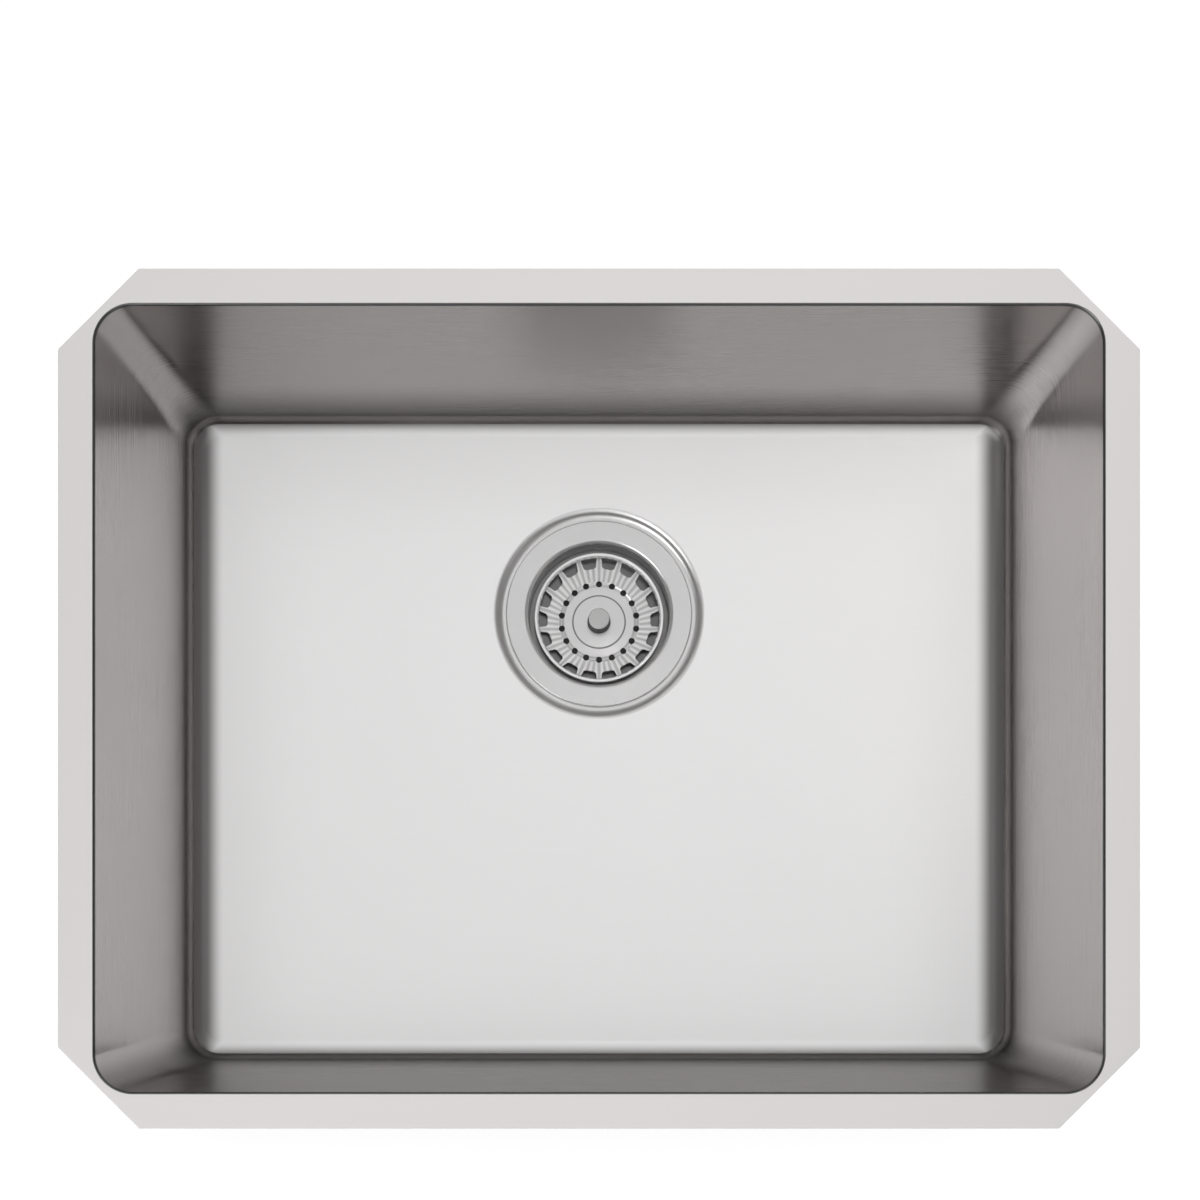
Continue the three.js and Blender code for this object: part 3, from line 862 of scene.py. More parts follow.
@dataclass
class Skin:
    """A closed skin that is built ring by ring.

    Args:
        points: the points so far, in millimetres.
        normals: the direction that the surface faces at each point.
        faces: the faces so far.
        parts: the finish number of each face.
    """

    points: list[np.ndarray] = field(default_factory=list)
    normals: list[np.ndarray] = field(default_factory=list)
    faces: list[tuple[int, ...]] = field(default_factory=list)
    parts: list[int] = field(default_factory=list)

    def ring(self, points: np.ndarray, normals: np.ndarray) -> list[int]:
        """Adds a ring of points.

        Args:
            points: its points, counter-clockwise from above.
            normals: the surface's direction at each point.

        Returns:
            The numbers of its points.
        """
        first = len(self.points)
        self.points.extend(points)
        self.normals.extend(normals)
        return list(range(first, len(self.points)))

    def outline(self, rows: np.ndarray, level: float, out: float, up: float) -> list[int]:
        """Adds the ring of an outline at a level.

        Args:
            rows: the outline's rows of x, y and outward angle.
            level: its level.
            out: outward part of the direction that the surface faces.
            up: upward part of that direction.

        Returns:
            The numbers of its points.
        """
        x, y, angle = rows.T
        points = np.stack((x, y, np.full(len(x), level)), 1)
        ups = np.full(len(x), up)
        normals = np.stack((out * np.cos(angle), out * np.sin(angle), ups), 1)
        return self.ring(points, normals)

    def join(self, lower: list[int], upper: list[int], part: int = 0) -> None:
        """Closes the band between two rings with as many points, or a ring and a pole.

        Args:
            lower: the first ring.
            upper: the ring that follows on the skin.
            part: the finish number of the band.
        """
        count = max(len(lower), len(upper))
        for i in range(count):
            j = (i + 1) % count
            corners = [
                lower[i % len(lower)],
                lower[j % len(lower)],
                upper[j % len(upper)],
                upper[i % len(upper)],
            ]
            kept = tuple(dict.fromkeys(corners))
            self.faces.append(kept)
            self.parts.append(part)

    def _sweep(self, ring: list[int], about: np.ndarray) -> tuple[list[int], list[float]]:
        """A ring in order of its angle about a point, closed by its first point.

        Args:
            ring: the numbers of its points.
            about: the point's x and y.

        Returns:
            The numbers of its points and their angles.
        """
        flat = np.array([self.points[i][:2] for i in ring]) - about
        angles = np.arctan2(flat[:, 1], flat[:, 0]) % TURN
        start = int(np.argmin(angles))
        order = [*range(start, len(ring)), *range(start)]
        turned_by = [float(angles[i]) for i in order]
        return [ring[i] for i in (*order, start)], [*turned_by, turned_by[0] + TURN]

    def bridge(
        self,
        outer: list[int],
        inner: list[int],
        about: np.ndarray,
        part: int,
        downwards: bool = False,
    ) -> None:
        """Closes the flat band between two rings that have different counts of points.

        Args:
            outer: the ring outside.
            inner: the ring inside.
            about: x and y of a point inside both.
            part: the finish number of the band.
            downwards: whether the band faces down.
        """
        outer_ids, outer_angles = self._sweep(outer, about)
        inner_ids, inner_angles = self._sweep(inner, about)
        i = j = 0
        while i < len(outer) or j < len(inner):
            inner_done = j == len(inner)
            if inner_done or (i < len(outer) and outer_angles[i + 1] <= inner_angles[j + 1]):
                face = (outer_ids[i], outer_ids[i + 1], inner_ids[j])
                i += 1
            else:
                face = (outer_ids[i], inner_ids[j + 1], inner_ids[j])
                j += 1
            self.faces.append(face[::-1] if downwards else face)
            self.parts.append(part)

    def volume(self) -> float:
        """Six times the signed volume that the faces enclose.

        Returns:
            Six times the volume, below zero if the faces look inwards.
        """
        total = 0.0
        for face in self.faces:
            a = self.points[face[0]]
            for k in range(1, len(face) - 1):
                b, c = self.points[face[k]], self.points[face[k + 1]]
                total += float(np.dot(a, np.cross(b, c)))
        return total

    def piece(self, name: str, move: Matrix | None = None) -> Piece:
        """Makes the mesh and its object.

        Args:
            name: the piece's name.
            move: where the skin goes, in millimetres.

        Returns:
            The new object at the origin.
        """
        faces = self.faces if self.volume() > 0 else [face[::-1] for face in self.faces]
        mesh = bpy.data.meshes.new(name)
        mesh.from_pydata([tuple(point) for point in self.points], [], faces)
        mesh.polygons.foreach_set("use_smooth", [True] * len(faces))
        mesh.polygons.foreach_set("material_index", self.parts)
        mesh.transform(Matrix.Scale(MM, 4) @ (move or Matrix.Identity(4)))
        turn = (move or Matrix.Identity(4)).to_3x3()
        if self.normals:
            turned_normals = np.array(self.normals) @ np.array(turn).T
            mesh.normals_split_custom_set_from_vertices([tuple(n) for n in turned_normals])
        made = bpy.data.objects.new(name, mesh)
        bpy.context.scene.collection.objects.link(made)
        return made


@dataclass(frozen=True)
class Corner:
    """A corner of a turned piece's section.

    Args:
        radius: distance from the axis.
        level: height.
        rounding: radius of its rounded edge.
    """

    radius: float
    level: float
    rounding: float = EDGE


@dataclass(frozen=True)
class Spot:
    """A point of a rounded section, with the direction that its surface faces.

    Args:
        radius: distance from the axis.
        level: height.
        out: outward part of the direction.
        up: upward part of the direction.
    """

    radius: float
    level: float
    out: float
    up: float


def section(corners: Sequence[Corner]) -> tuple[list[Spot], bool]:
    """Rounds the corners of a section that keeps its material on the left of its path.

    Args:
        corners: the corners in order. A path that starts on the axis ends there too.

    Returns:
        The section's points, and whether it closes on itself.
    """
    closed = corners[0].radius > 0
    places = [np.array((corner.radius, corner.level)) for corner in corners]
    count = len(places)
    spots: list[Spot] = []
    for i, corner in enumerate(corners):
        here = places[i]
        if not closed and i in (0, count - 1):
            along = places[1] - here if i == 0 else here - places[i - 1]
            along = along / np.linalg.norm(along)
            spots.append(Spot(0.0, corner.level, along[1], -along[0]))
            continue
        before, after = here - places[i - 1], places[(i + 1) % count] - here
        room = ROOM * min(np.linalg.norm(before), np.linalg.norm(after))
        before, after = before / np.linalg.norm(before), after / np.linalg.norm(after)
        cross = before[0] * after[1] - before[1] * after[0]
        bend = math.atan2(cross, float(np.dot(before, after)))
        if abs(bend) < STRAIGHT:
            spots.append(Spot(here[0], here[1], after[1], -after[0]))
            continue
        reach = min(corner.rounding * math.tan(abs(bend) / 2), room)
        radius = math.copysign(reach / math.tan(abs(bend) / 2), bend)
        start = here - before * reach
        centre = start + radius * np.array((-before[1], before[0]))
        steps = max(2, math.ceil(abs(bend) / ARC_STEP))
        for k in range(steps + 1):
            angle = bend * k / steps
            cos, sin = math.cos(angle), math.sin(angle)
            spin = np.array(((cos, -sin), (sin, cos)))
            place, along = centre + spin @ (start - centre), spin @ before
            spots.append(Spot(place[0], place[1], along[1], -along[0]))
    return spots, closed


@dataclass(frozen=True)
class Axis:
    """An upright axis and the number of facets of what is turned round it.

    Args:
        x: its place from side to side.
        y: its place from front to back.
        facets: how many points a ring has.
    """

    x: float
    y: float
    facets: int = 144

    def ring(self, skin: Skin, spot: Spot, shape: Callable | None = None) -> list[int]:
        """Adds the ring of one section point, or the pole of one on the axis.

        Args:
            skin: the skin to add to.
            spot: the section point.
            shape: gives the share of the radius at each angle.

        Returns:
            The numbers of its points.
        """
        if spot.radius < ON_AXIS:
            pole = np.array([(self.x, self.y, spot.level)])
            return skin.ring(pole, np.array([(0.0, 0.0, math.copysign(1.0, spot.up))]))
        angles = np.arange(self.facets) * TURN / self.facets
        radii = spot.radius * (shape(angles) if shape else np.ones(self.facets))
        cos, sin = np.cos(angles), np.sin(angles)
        levels = np.full(self.facets, spot.level)
        points = np.stack((self.x + radii * cos, self.y + radii * sin, levels), 1)
        ups = np.full(self.facets, spot.up)
        return skin.ring(points, np.stack((spot.out * cos, spot.out * sin, ups), 1))

    def turned(self, name: str, corners: Sequence[Corner]) -> Piece:
        """Makes a turned piece.

        Args:
            name: the piece's name.
            corners: its section, with the material on the left of the path.

        Returns:
            The new object.
        """
        skin = Skin()
        spots, closed = section(corners)
        rings = [self.ring(skin, spot) for spot in spots]
        for lower, upper in zip(rings, rings[1:]):
            skin.join(lower, upper)
        if closed:
            skin.join(rings[-1], rings[0])
        return skin.piece(name)

    def hoop(
        self, name: str, inner: float, outer: float, levels: Pair, edge: float
    ) -> Piece:
        """Makes a flat ring between two radii and two levels.

        Args:
            name: the piece's name.
            inner: radius of its bore.
            outer: its outer radius.
            levels: its lowest and highest level.
            edge: rounding of its edges.

        Returns:
            The new object.
        """
        low, high = levels
        corners = [
            Corner(inner, low, edge),
            Corner(outer, low, edge),
            Corner(outer, high, edge),
            Corner(inner, high, edge),
        ]
        return self.turned(name, corners)


def dress(
    piece: Piece, body: Body, slot: Slot, finishes: Sequence[Finish], *nodes: str
) -> Piece:
    """Gives a piece its finishes and its place in the frame.

    Args:
        piece: the finished mesh object.
        body: the body that it rides on.
        slot: the slot that its finish belongs to. It is not used.
        finishes: its materials, in the order of its faces' numbers.
        nodes: the CAD nodes that it stands for.

    Returns:
        The same object.
    """
    kept = np.zeros(len(piece.data.polygons), dtype=np.int32)
    if len(finishes) > 1:
        piece.data.polygons.foreach_get("material_index", kept)
    piece.data.materials.clear()
    for finish in finishes:
        piece.data.materials.append(finish.material())
    piece.data.polygons.foreach_set("material_index", kept)
    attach(piece, body.value)
    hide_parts(*nodes)
    log.info("%s: %d faces, on %s", piece.name, len(piece.data.polygons), body.value)
    return piece


# ---- Geometry Nodes


@dataclass(frozen=True)
class CopyRing:
    """Geometry Nodes that set copies of a tool round an axis and cut them away or join them.

    Args:
        axis: the axis that the copies stand round.
        count: how many copies there are.
        start: the first copy's angle in radians.
        cut: whether the copies are cut away or joined on.
    """

    axis: Axis
    count: int
    start: float
    cut: Cut

    def tree(self) -> bpy.types.NodeTree:
        """Builds the node tree with its named inputs.

        Returns:
            The new Geometry Nodes tree.
        """
        tree = bpy.data.node_groups.new("ring of copies", "GeometryNodeTree")
        face = tree.interface
        face.new_socket("Geometry", in_out="OUTPUT", socket_type="NodeSocketGeometry")
        face.new_socket("Geometry", in_out="INPUT", socket_type="NodeSocketGeometry")
        face.new_socket("Tool", in_out="INPUT", socket_type="NodeSocketObject")
        face.new_socket("Count", in_out="INPUT", socket_type="NodeSocketInt")
        face.new_socket("Start", in_out="INPUT", socket_type="NodeSocketFloat")
        face.new_socket("Axis", in_out="INPUT", socket_type="NodeSocketVector")
        face.new_socket("Finish", in_out="INPUT", socket_type="NodeSocketMaterial")
        board = Board(tree)
        given = board.node("NodeGroupInput")
        inputs = {s.name: Wire(board, s) for s in given.socket.node.outputs if s.name}
        tool = board.node(
            "GeometryNodeObjectInfo",
            {"transform_space": "ORIGINAL"},
            {"Object": inputs["Tool"]},
            "Geometry",
        )
        points = board.node(
            "GeometryNodePoints", None, {"Count": inputs["Count"], "Position": inputs["Axis"]}
        )
        number = board.node("GeometryNodeInputIndex")
        angle = number * TURN / inputs["Count"] + inputs["Start"]
        turn = board.node("ShaderNodeCombineXYZ", None, {"Z": angle})
        copies = board.node(
            "GeometryNodeInstanceOnPoints",
            None,
            {"Points": points, "Instance": tool, "Rotation": turn},
        )
        real = board.node("GeometryNodeRealizeInstances", None, {0: copies})
        settings = {"operation": self.cut.value, "solver": "EXACT"}
        whole = board.node("GeometryNodeMeshBoolean", settings)
        boolean = whole.socket.node
        if self.cut is Cut.AWAY:
            tree.links.new(inputs["Geometry"].socket, boolean.inputs["Mesh 1"])
        else:
            tree.links.new(inputs["Geometry"].socket, boolean.inputs["Mesh 2"])
        tree.links.new(real.socket, boolean.inputs["Mesh 2"])
        done = board.node("GeometryNodeRealizeInstances", None, {0: whole})
        finished = board.node(
            "GeometryNodeSetMaterial", None, {"Geometry": done, "Material": inputs["Finish"]}
        )
        board.node("NodeGroupOutput", None, {0: finished})
        return tree

    def apply(self, piece: Piece, tool: Piece, finish: Finish) -> Piece:
        """Runs the tree on a piece and keeps the result as its plain mesh.

        Args:
            piece: the piece that is cut or added to.
            tool: the copied object, made round the world's Z axis. It is removed afterwards.
            finish: the result's finish.

        Returns:
            The same piece with its new mesh.
        """
        modifier = piece.modifiers.new("ring of copies", "NODES")
        modifier.node_group = self.tree()
        values = {
            "Tool": tool,
            "Count": self.count,
            "Start": self.start,
            "Axis": (self.axis.x * MM, self.axis.y * MM, 0.0),
            "Finish": finish.material(),
        }
        for item in modifier.node_group.interface.items_tree:
            if item.in_out == "INPUT" and item.name in values:
                modifier[item.identifier] = values[item.name]
        return bake(piece, tool)


def bake(piece: Piece, *tools: Piece) -> Piece:
    """Turns a piece's modifiers into plain mesh.

    Args:
        piece: the piece with live modifiers.
        tools: objects that only its modifiers needed, which are removed.

    Returns:
        The same piece without modifiers.
    """
    bpy.context.view_layer.update()
    graph = bpy.context.evaluated_depsgraph_get()
    mesh = bpy.data.meshes.new_from_object(piece.evaluated_get(graph))
    mesh.name = piece.name
    piece.modifiers.clear()
    piece.data = mesh
    for tool in tools:
        bpy.data.objects.remove(tool)
    return piece


def smoothed(piece: Piece, angle: float = 32.0) -> Piece:
    """Shades a piece smooth, with a crisp edge wherever its faces turn by more than an angle.

    Args:
        piece: the piece.
        angle: the bend in degrees from which an edge stays crisp.

    Returns:
        The same piece.
    """
    mesh = piece.data
    mesh.polygons.foreach_set("use_smooth", [True] * len(mesh.polygons))
    mesh.set_sharp_from_angle(angle=math.radians(angle))
    return piece


def prism(name: str, outline: Sequence[Pair], levels: Pair) -> Piece:
    """Makes an upright prism.

    Args:
        name: the object's name.
        outline: its corners, counter-clockwise from above.
        levels: its lowest and highest level.

    Returns:
        The new object.
    """
    skin = Skin()
    flat = np.array(outline)
    count = len(flat)
    for level in levels:
        skin.points.extend(np.column_stack((flat, np.full(count, level))))
    skin.join(list(range(count)), list(range(count, 2 * count)))
    skin.faces += [tuple(range(count))[::-1], tuple(range(count, 2 * count))]
    skin.parts += [0, 0]
    return skin.piece(name)


# ---- Bowl


@dataclass
class Bowl:
    """The pressed bowl with its flange and the recess for the drain.

    Args:
        axis: the drain's axis.
        sheet: the steel's thickness.
        corner: radius of the upright corners.
        flange: width of the flange.
        chamfer: leg of the flange's cut corners.
        chamfer_round: rounding of the cut corners' ends.
        fillet: radius between walls and floor.
        floor_share: share of that fillet that has the floor's finish.
        bend: rounding of the opening's edge.
        under_bend: rounding where the outer walls meet the flange.
        flange_edge: rounding of the flange's outer edge.
        recess_flat: radius of the recess's flat.
        recess_run: radial width of the recess's sloping wall.
        recess_depth: depth of the recess.
        hole: radius of the drain hole.
        corner_points: points on each corner.
        side_points: points on each side between two corners.
        edge_rings: rings on the rounding of a thin edge.
        bend_rings: rings on the rounding of the opening's edge.
        fillet_rings: rings on the fillet inside the bowl.
        under_rings: rings on the fillet outside the bowl.
        recess_steps: steps on each of the two arcs of the recess's wall.
        half_width: half the opening's width, from the CAD node.
        half_length: half its length, from the CAD node.
        depth: from the flange's top to the floor, from the CAD node.
    """

    axis: Axis
    sheet: float = 1.2
    corner: float = 19.0
    flange: float = 18.0
    chamfer: float = 40.0
    chamfer_round: float = 1.5
    fillet: float = 11.0
    floor_share: float = 0.45
    bend: float = 1.0
    under_bend: float = 0.4
    flange_edge: float = 0.3
    recess_flat: float = 58.2
    recess_run: float = 6.3
    recess_depth: float = 3.4
    hole: float = 46.0
    corner_points: int = 18
    side_points: int = 8
    edge_rings: int = 4
    bend_rings: int = 7
    fillet_rings: int = 17
    under_rings: int = 13
    recess_steps: int = 8
    half_width: float = field(init=False)
    half_length: float = field(init=False)
    depth: float = field(init=False)

    FLAT, WALL, RECESS, FLANGE = range(4)

    def __post_init__(self) -> None:
        """Takes the overall sizes from the CAD node."""
        low, high = box_mm("sink_bowl")
        self.half_width = float(high[0]) - self.flange
        self.half_length = float(high[1]) - self.flange
        self.depth = -float(low[2]) - self.sheet - self.recess_depth

    def _round(self, corner: Sequence[Sequence[float]]) -> np.ndarray:
        """Copies a corner to all four and joins them with evenly spaced points.

        Args:
            corner: the x, y and angle of each point of the right back corner.

        Returns:
            Rows of x, y and the outward angle, counter-clockwise from the right side.
        """
        first = np.array(corner)
        corners = []
        for number, (sx, sy) in enumerate(QUADRANTS):
            here = first[::-1] if number % 2 else first
            angle = np.arctan2(sy * np.sin(here[:, 2]), sx * np.cos(here[:, 2]))
            corners.append(np.column_stack((sx * here[:, 0], sy * here[:, 1], angle)))
        rows: list[np.ndarray] = []
        share = np.arange(1, self.side_points + 1)[:, None] / (self.side_points + 1)
        for number, here in enumerate(corners):
            after = corners[(number + 1) % len(corners)][0]
            between = here[-1] * (1 - share) + after * share
            between[:, 2] = QUARTER * (number + 1)
            rows += [here, between]
        return np.concatenate(rows)

    def opening(self, outset: float) -> np.ndarray:
        """The opening's outline, moved outwards.

        Args:
            outset: how far it is moved.

        Returns:
            Rows of x, y and the outward angle.
        """
        radius = self.corner + outset
        x = self.half_width - self.corner
        y = self.half_length - self.corner
        angles = np.linspace(0.0, QUARTER, self.corner_points)
        return self._round(arc((x, y), radius, angles))

    def rim(self, inset: float) -> np.ndarray:
        """The flange's outline with its cut corners, moved inwards.

        Args:
            inset: how far it is moved.

        Returns:
            Rows of x, y and the outward angle.
        """
        x = self.half_width + self.flange - inset
        y = self.half_length + self.flange - inset
        radius = self.chamfer_round
        leg = self.chamfer - inset * (2 - math.sqrt(2)) + radius * math.tan(EIGHTH / 2)
        third = self.corner_points // 3
        angles = np.linspace(0.0, EIGHTH, third)
        lower = arc((x - radius, y - leg), radius, angles)
        upper = arc((x - leg, y - radius), radius, angles + EIGHTH)
        start, end = np.array(lower[-1]), np.array(upper[0])
        shares = np.linspace(0.0, 1.0, self.corner_points - 2 * third + 2)[1:-1]
        middle = [start * (1 - share) + end * share for share in shares]
        return self._round([*lower, *middle, *upper])

    def _recess_arcs(self) -> list[Spot]:
        """The recess's sloping wall from floor to flat: two equal arcs, one each way.

        Returns:
            Its section's points.
        """
        run, drop = self.recess_run / 2, self.recess_depth / 2
        steep = 2 * math.atan(drop / run)
        radius = run / math.sin(steep)
        mouth, flat = self.recess_flat + self.recess_run, -self.depth - self.recess_depth
        spots = []
        for step in range(self.recess_steps + 1):
            cos, sin = (f(steep * step / self.recess_steps) for f in (math.cos, math.sin))
            level = -self.depth - radius * (1 - cos)
            spots.append(Spot(mouth - radius * sin, level, -sin, cos))
        for step in range(self.recess_steps - 1, -1, -1):
            cos, sin = (f(steep * step / self.recess_steps) for f in (math.cos, math.sin))
            level = flat + radius * (1 - cos)
            spots.append(Spot(self.recess_flat + radius * sin, level, -sin, cos))
        return spots

    def _inside(self, skin: Skin) -> list[tuple[list[int], int]]:
        """Adds the rings from the flange's edge over its top and down to the floor.

        Args:
            skin: the skin to add to.

        Returns:
            Each ring and the finish number of the band that ends at it.
        """
        rings: list[tuple[list[int], int]] = []
        edge, bend, fillet = self.flange_edge, self.bend, self.fillet
        for a in np.linspace(0.0, QUARTER, self.edge_rings):
            out, up = math.cos(a), math.sin(a)
            ring = skin.outline(self.rim(edge * (1 - out)), edge * up - edge, out, up)
            rings.append((ring, self.FLANGE))
        for a in np.linspace(0.0, QUARTER, self.bend_rings):
            out, up = math.sin(a), math.cos(a)
            part = self.WALL if a > 0 else self.FLANGE
            level = -bend * (1 - up)
            rings.append((skin.outline(self.opening(bend * (1 - out)), level, -out, up), part))
        for a in np.linspace(0.0, QUARTER, self.fillet_rings):
            out, up = math.cos(a), math.sin(a)
            part = self.FLAT if a > QUARTER * (1.0 - self.floor_share) else self.WALL
            level = -self.depth + fillet * (1 - up)
            rings.append((skin.outline(self.opening(fillet * (out - 1)), level, -out, up), part))
        return rings

    def _recess(self, skin: Skin) -> list[list[int]]:
        """Adds the rings of the recess, from the floor into the hole and back below it.

        Args:
            skin: the skin to add to.

        Returns:
            The rings.
        """
        t = self.sheet
        flat = -self.depth - self.recess_depth
        over = self._recess_arcs()
        under = [Spot(s.radius - t * s.out, s.level - t * s.up, -s.out, -s.up) for s in over]
        slant = math.sqrt(0.5)
        hole = [Spot(self.hole, flat, -slant, slant), Spot(self.hole, flat - t, -slant, -slant)]
        return [self.axis.ring(skin, spot) for spot in (*over, *hole, *under[::-1])]

    def _outside(self, skin: Skin) -> list[list[int]]:
        """Adds the rings from below the floor up the outer walls and under the flange.

        Args:
            skin: the skin to add to.

        Returns:
            The rings.
        """
        t, edge = self.sheet, self.flange_edge
        outer_fillet = self.fillet + t
        rings: list[list[int]] = []
        for a in np.linspace(QUARTER, 0.0, self.under_rings):
            out, up = math.cos(a), math.sin(a)
            level = -self.depth - t + outer_fillet * (1 - up)
            outline = self.opening(t - outer_fillet * (1 - out))
            rings.append(skin.outline(outline, level, out, -up))
        for a in np.linspace(0.0, QUARTER, self.edge_rings):
            out, up = math.cos(a), math.sin(a)
            outline = self.opening(t + self.under_bend * (1 - out))
            rings.append(skin.outline(outline, -t - self.under_bend * (1 - up), out, -up))
        for a in np.linspace(QUARTER, 0.0, self.edge_rings):
            out, up = math.cos(a), math.sin(a)
            outline = self.rim(edge * (1 - out))
            rings.append(skin.outline(outline, -t + edge * (1 - up), out, -up))
        return rings

    def build(self) -> Piece:
        """Makes the bowl's mesh.

        Returns:
            The new object, with faces numbered flat, wall, recess and flange.
        """
        skin = Skin()
        about = np.array((self.axis.x, self.axis.y))
        inside = self._inside(skin)
        for (before, _), (after, part) in zip(inside, inside[1:]):
            skin.join(before, after, part)
        recess = self._recess(skin)
        skin.bridge(inside[-1][0], recess[0], about, self.FLAT)
        for before, after in zip(recess, recess[1:]):
            skin.join(before, after, self.RECESS)
        outside = self._outside(skin)
        skin.bridge(outside[0], recess[-1], about, self.FLAT, downwards=True)
        flange = len(outside) - self.edge_rings
        for i, (before, after) in enumerate(zip(outside, outside[1:]), 1):
            skin.join(before, after, self.FLANGE if i >= flange else self.WALL)
        skin.join(outside[-1], inside[0][0], self.FLANGE)
        return skin.piece("bowl")

    def dress(self) -> None:
        """Makes the bowl and gives it its satin finishes."""
        finishes = (FINISH.flat, FINISH.wall, FINISH.recess, FINISH.flange)
        dress(self.build(), Body.SINK, Slot.SATIN, finishes, "sink_bowl")


# ---- Sound-deadening pads


@dataclass
class SoundPads:
    """The rubber pads on the outside of the floor and the walls.

    Args:
        axis: the drain's axis, which the floor pad goes round.
        bowl: the bowl that they are stuck to.
        corner: radius of the pads' corners.
        edge: rounding of the pads' free edges.
        hole_margin: from the recess's outer edge to the floor pad's hole.
        corner_points: points on each corner.
        side_points: points on each side between two corners.
        edge_rings: rings on the rounding of the free edges.
    """

    axis: Axis
    bowl: Bowl
    corner: float = 10.0
    edge: float = 0.8
    hole_margin: float = 6.0
    corner_points: int = 9
    side_points: int = 16
    edge_rings: int = 5

    def _outline(self, width: float, length: float, inset: float) -> np.ndarray:
        """A rectangle with rounded corners.

        Args:
            width: its size along x.
            length: its size along y.
            inset: how far the outline is moved inwards.

        Returns:
            Rows of x, y and the outward angle.
        """
        x, y = width / 2 - self.corner, length / 2 - self.corner
        arcs = []
        for number, (sx, sy) in enumerate(QUADRANTS):
            angles = np.linspace(0.0, QUARTER, self.corner_points) + number * QUARTER
            arcs.append(np.array(arc((sx * x, sy * y), self.corner - inset, angles)))
        rows: list[np.ndarray] = []
        for here, after in zip(arcs, (*arcs[1:], arcs[0])):
            rows += list(here)
            for share in np.linspace(0.0, 1.0, self.side_points + 2)[1:-1]:
                place = here[-1][:2] * (1 - share) + after[0][:2] * share
                rows.append(np.array((*place, here[-1][2])))
        return np.array(rows)

    def _edges(self, thickness: float) -> list[tuple[float, ...]]:
        """The section of a pad's edge, from its back to its free face.

        Args:
            thickness: the pad's thickness.

        Returns:
            Rows of inset, level, and the outward and upward part of the direction.
        """
        rows = [(0.0, 0.0, 1.0, 0.0)]
        for a in np.linspace(0.0, QUARTER, self.edge_rings):
            inset = self.edge * (1 - math.cos(a))
            level = thickness - self.edge * (1 - math.sin(a))
            rows.append((inset, level, math.cos(a), math.sin(a)))
        return rows

    def _pad(
        self, width: float, length: float, thickness: float
    ) -> tuple[Skin, list[int], list[int]]:
        """A pad's edge, lying flat with its free face up.

        Args:
            width: its size along x.
            length: its size along y.
            thickness: its thickness.

        Returns:
            The skin, the ring of its back and the ring of its free face.
        """
        skin = Skin()
        rings = [
            skin.outline(self._outline(width, length, inset), level, out, up)
            for inset, level, out, up in self._edges(thickness)
        ]
        for before, after in zip(rings, rings[1:]):
            skin.join(before, after)
        return skin, rings[0], rings[-1]

    def wall(self, node: str, away: Pair) -> Piece:
        """Makes the pad of one wall.

        Args:
            node: the CAD node that it stands for.
            away: the wall's outward direction in x and y.

        Returns:
            The new object.
        """
        low, high = box_mm(node)
        size, middle = high - low, (high + low) / 2
        along = 1 if away[0] else 0
        thickness = size[1 - along]
        skin, back, face = self._pad(size[along], size[2], thickness)
        skin.faces += [tuple(face), tuple(back)[::-1]]
        skin.parts += [0, 0]
        outward, up = np.array((*away, 0.0)), np.array((0.0, 0.0, 1.0))
        columns = (np.cross(up, outward), up, outward, middle - outward * thickness / 2)
        rows = np.vstack((np.column_stack(columns), (0.0, 0.0, 0.0, 1.0)))
        return skin.piece(node.replace("_pad", "_sound_pad"), Matrix(rows.tolist()))

    def base(self) -> Piece:
        """Makes the floor pad with its hole round the drain.

        Returns:
            The new object.
        """
        low, high = box_mm("base_pad")
        width, length, thickness = high - low
        skin, back, face = self._pad(width, length, thickness)
        hole = self.bowl.recess_flat + self.bowl.recess_run + self.bowl.sheet + self.hole_margin
        axis = Axis(self.axis.x, -self.axis.y, self.axis.facets)
        inner = [
            axis.ring(skin, Spot(hole + inset, level, -out, up))
            for inset, level, out, up in self._edges(thickness)
        ]
        for before, after in zip(inner, inner[1:]):
            skin.join(after, before)
        about = np.array((axis.x, axis.y))
        skin.bridge(face, inner[-1], about, 0)
        skin.bridge(back, inner[0], about, 0, downwards=True)
        over = Matrix.Rotation(math.pi, 4, "X")
        return skin.piece("base_sound_pad", Matrix.Translation((0, 0, high[2])) @ over)

    def dress(self) -> None:
        """Makes and dresses the five pads."""
        walls = {
            "front_pad": (0, -1),
            "right_pad": (1, 0),
            "back_pad": (0, 1),
            "left_pad": (-1, 0),
        }
        dress(self.base(), Body.SINK, Slot.PAD, (FINISH.pad,), "base_pad")
        for node, away in walls.items():
            dress(self.wall(node, away), Body.SINK, Slot.PAD, (FINISH.pad,), node)


# ---- Strainer


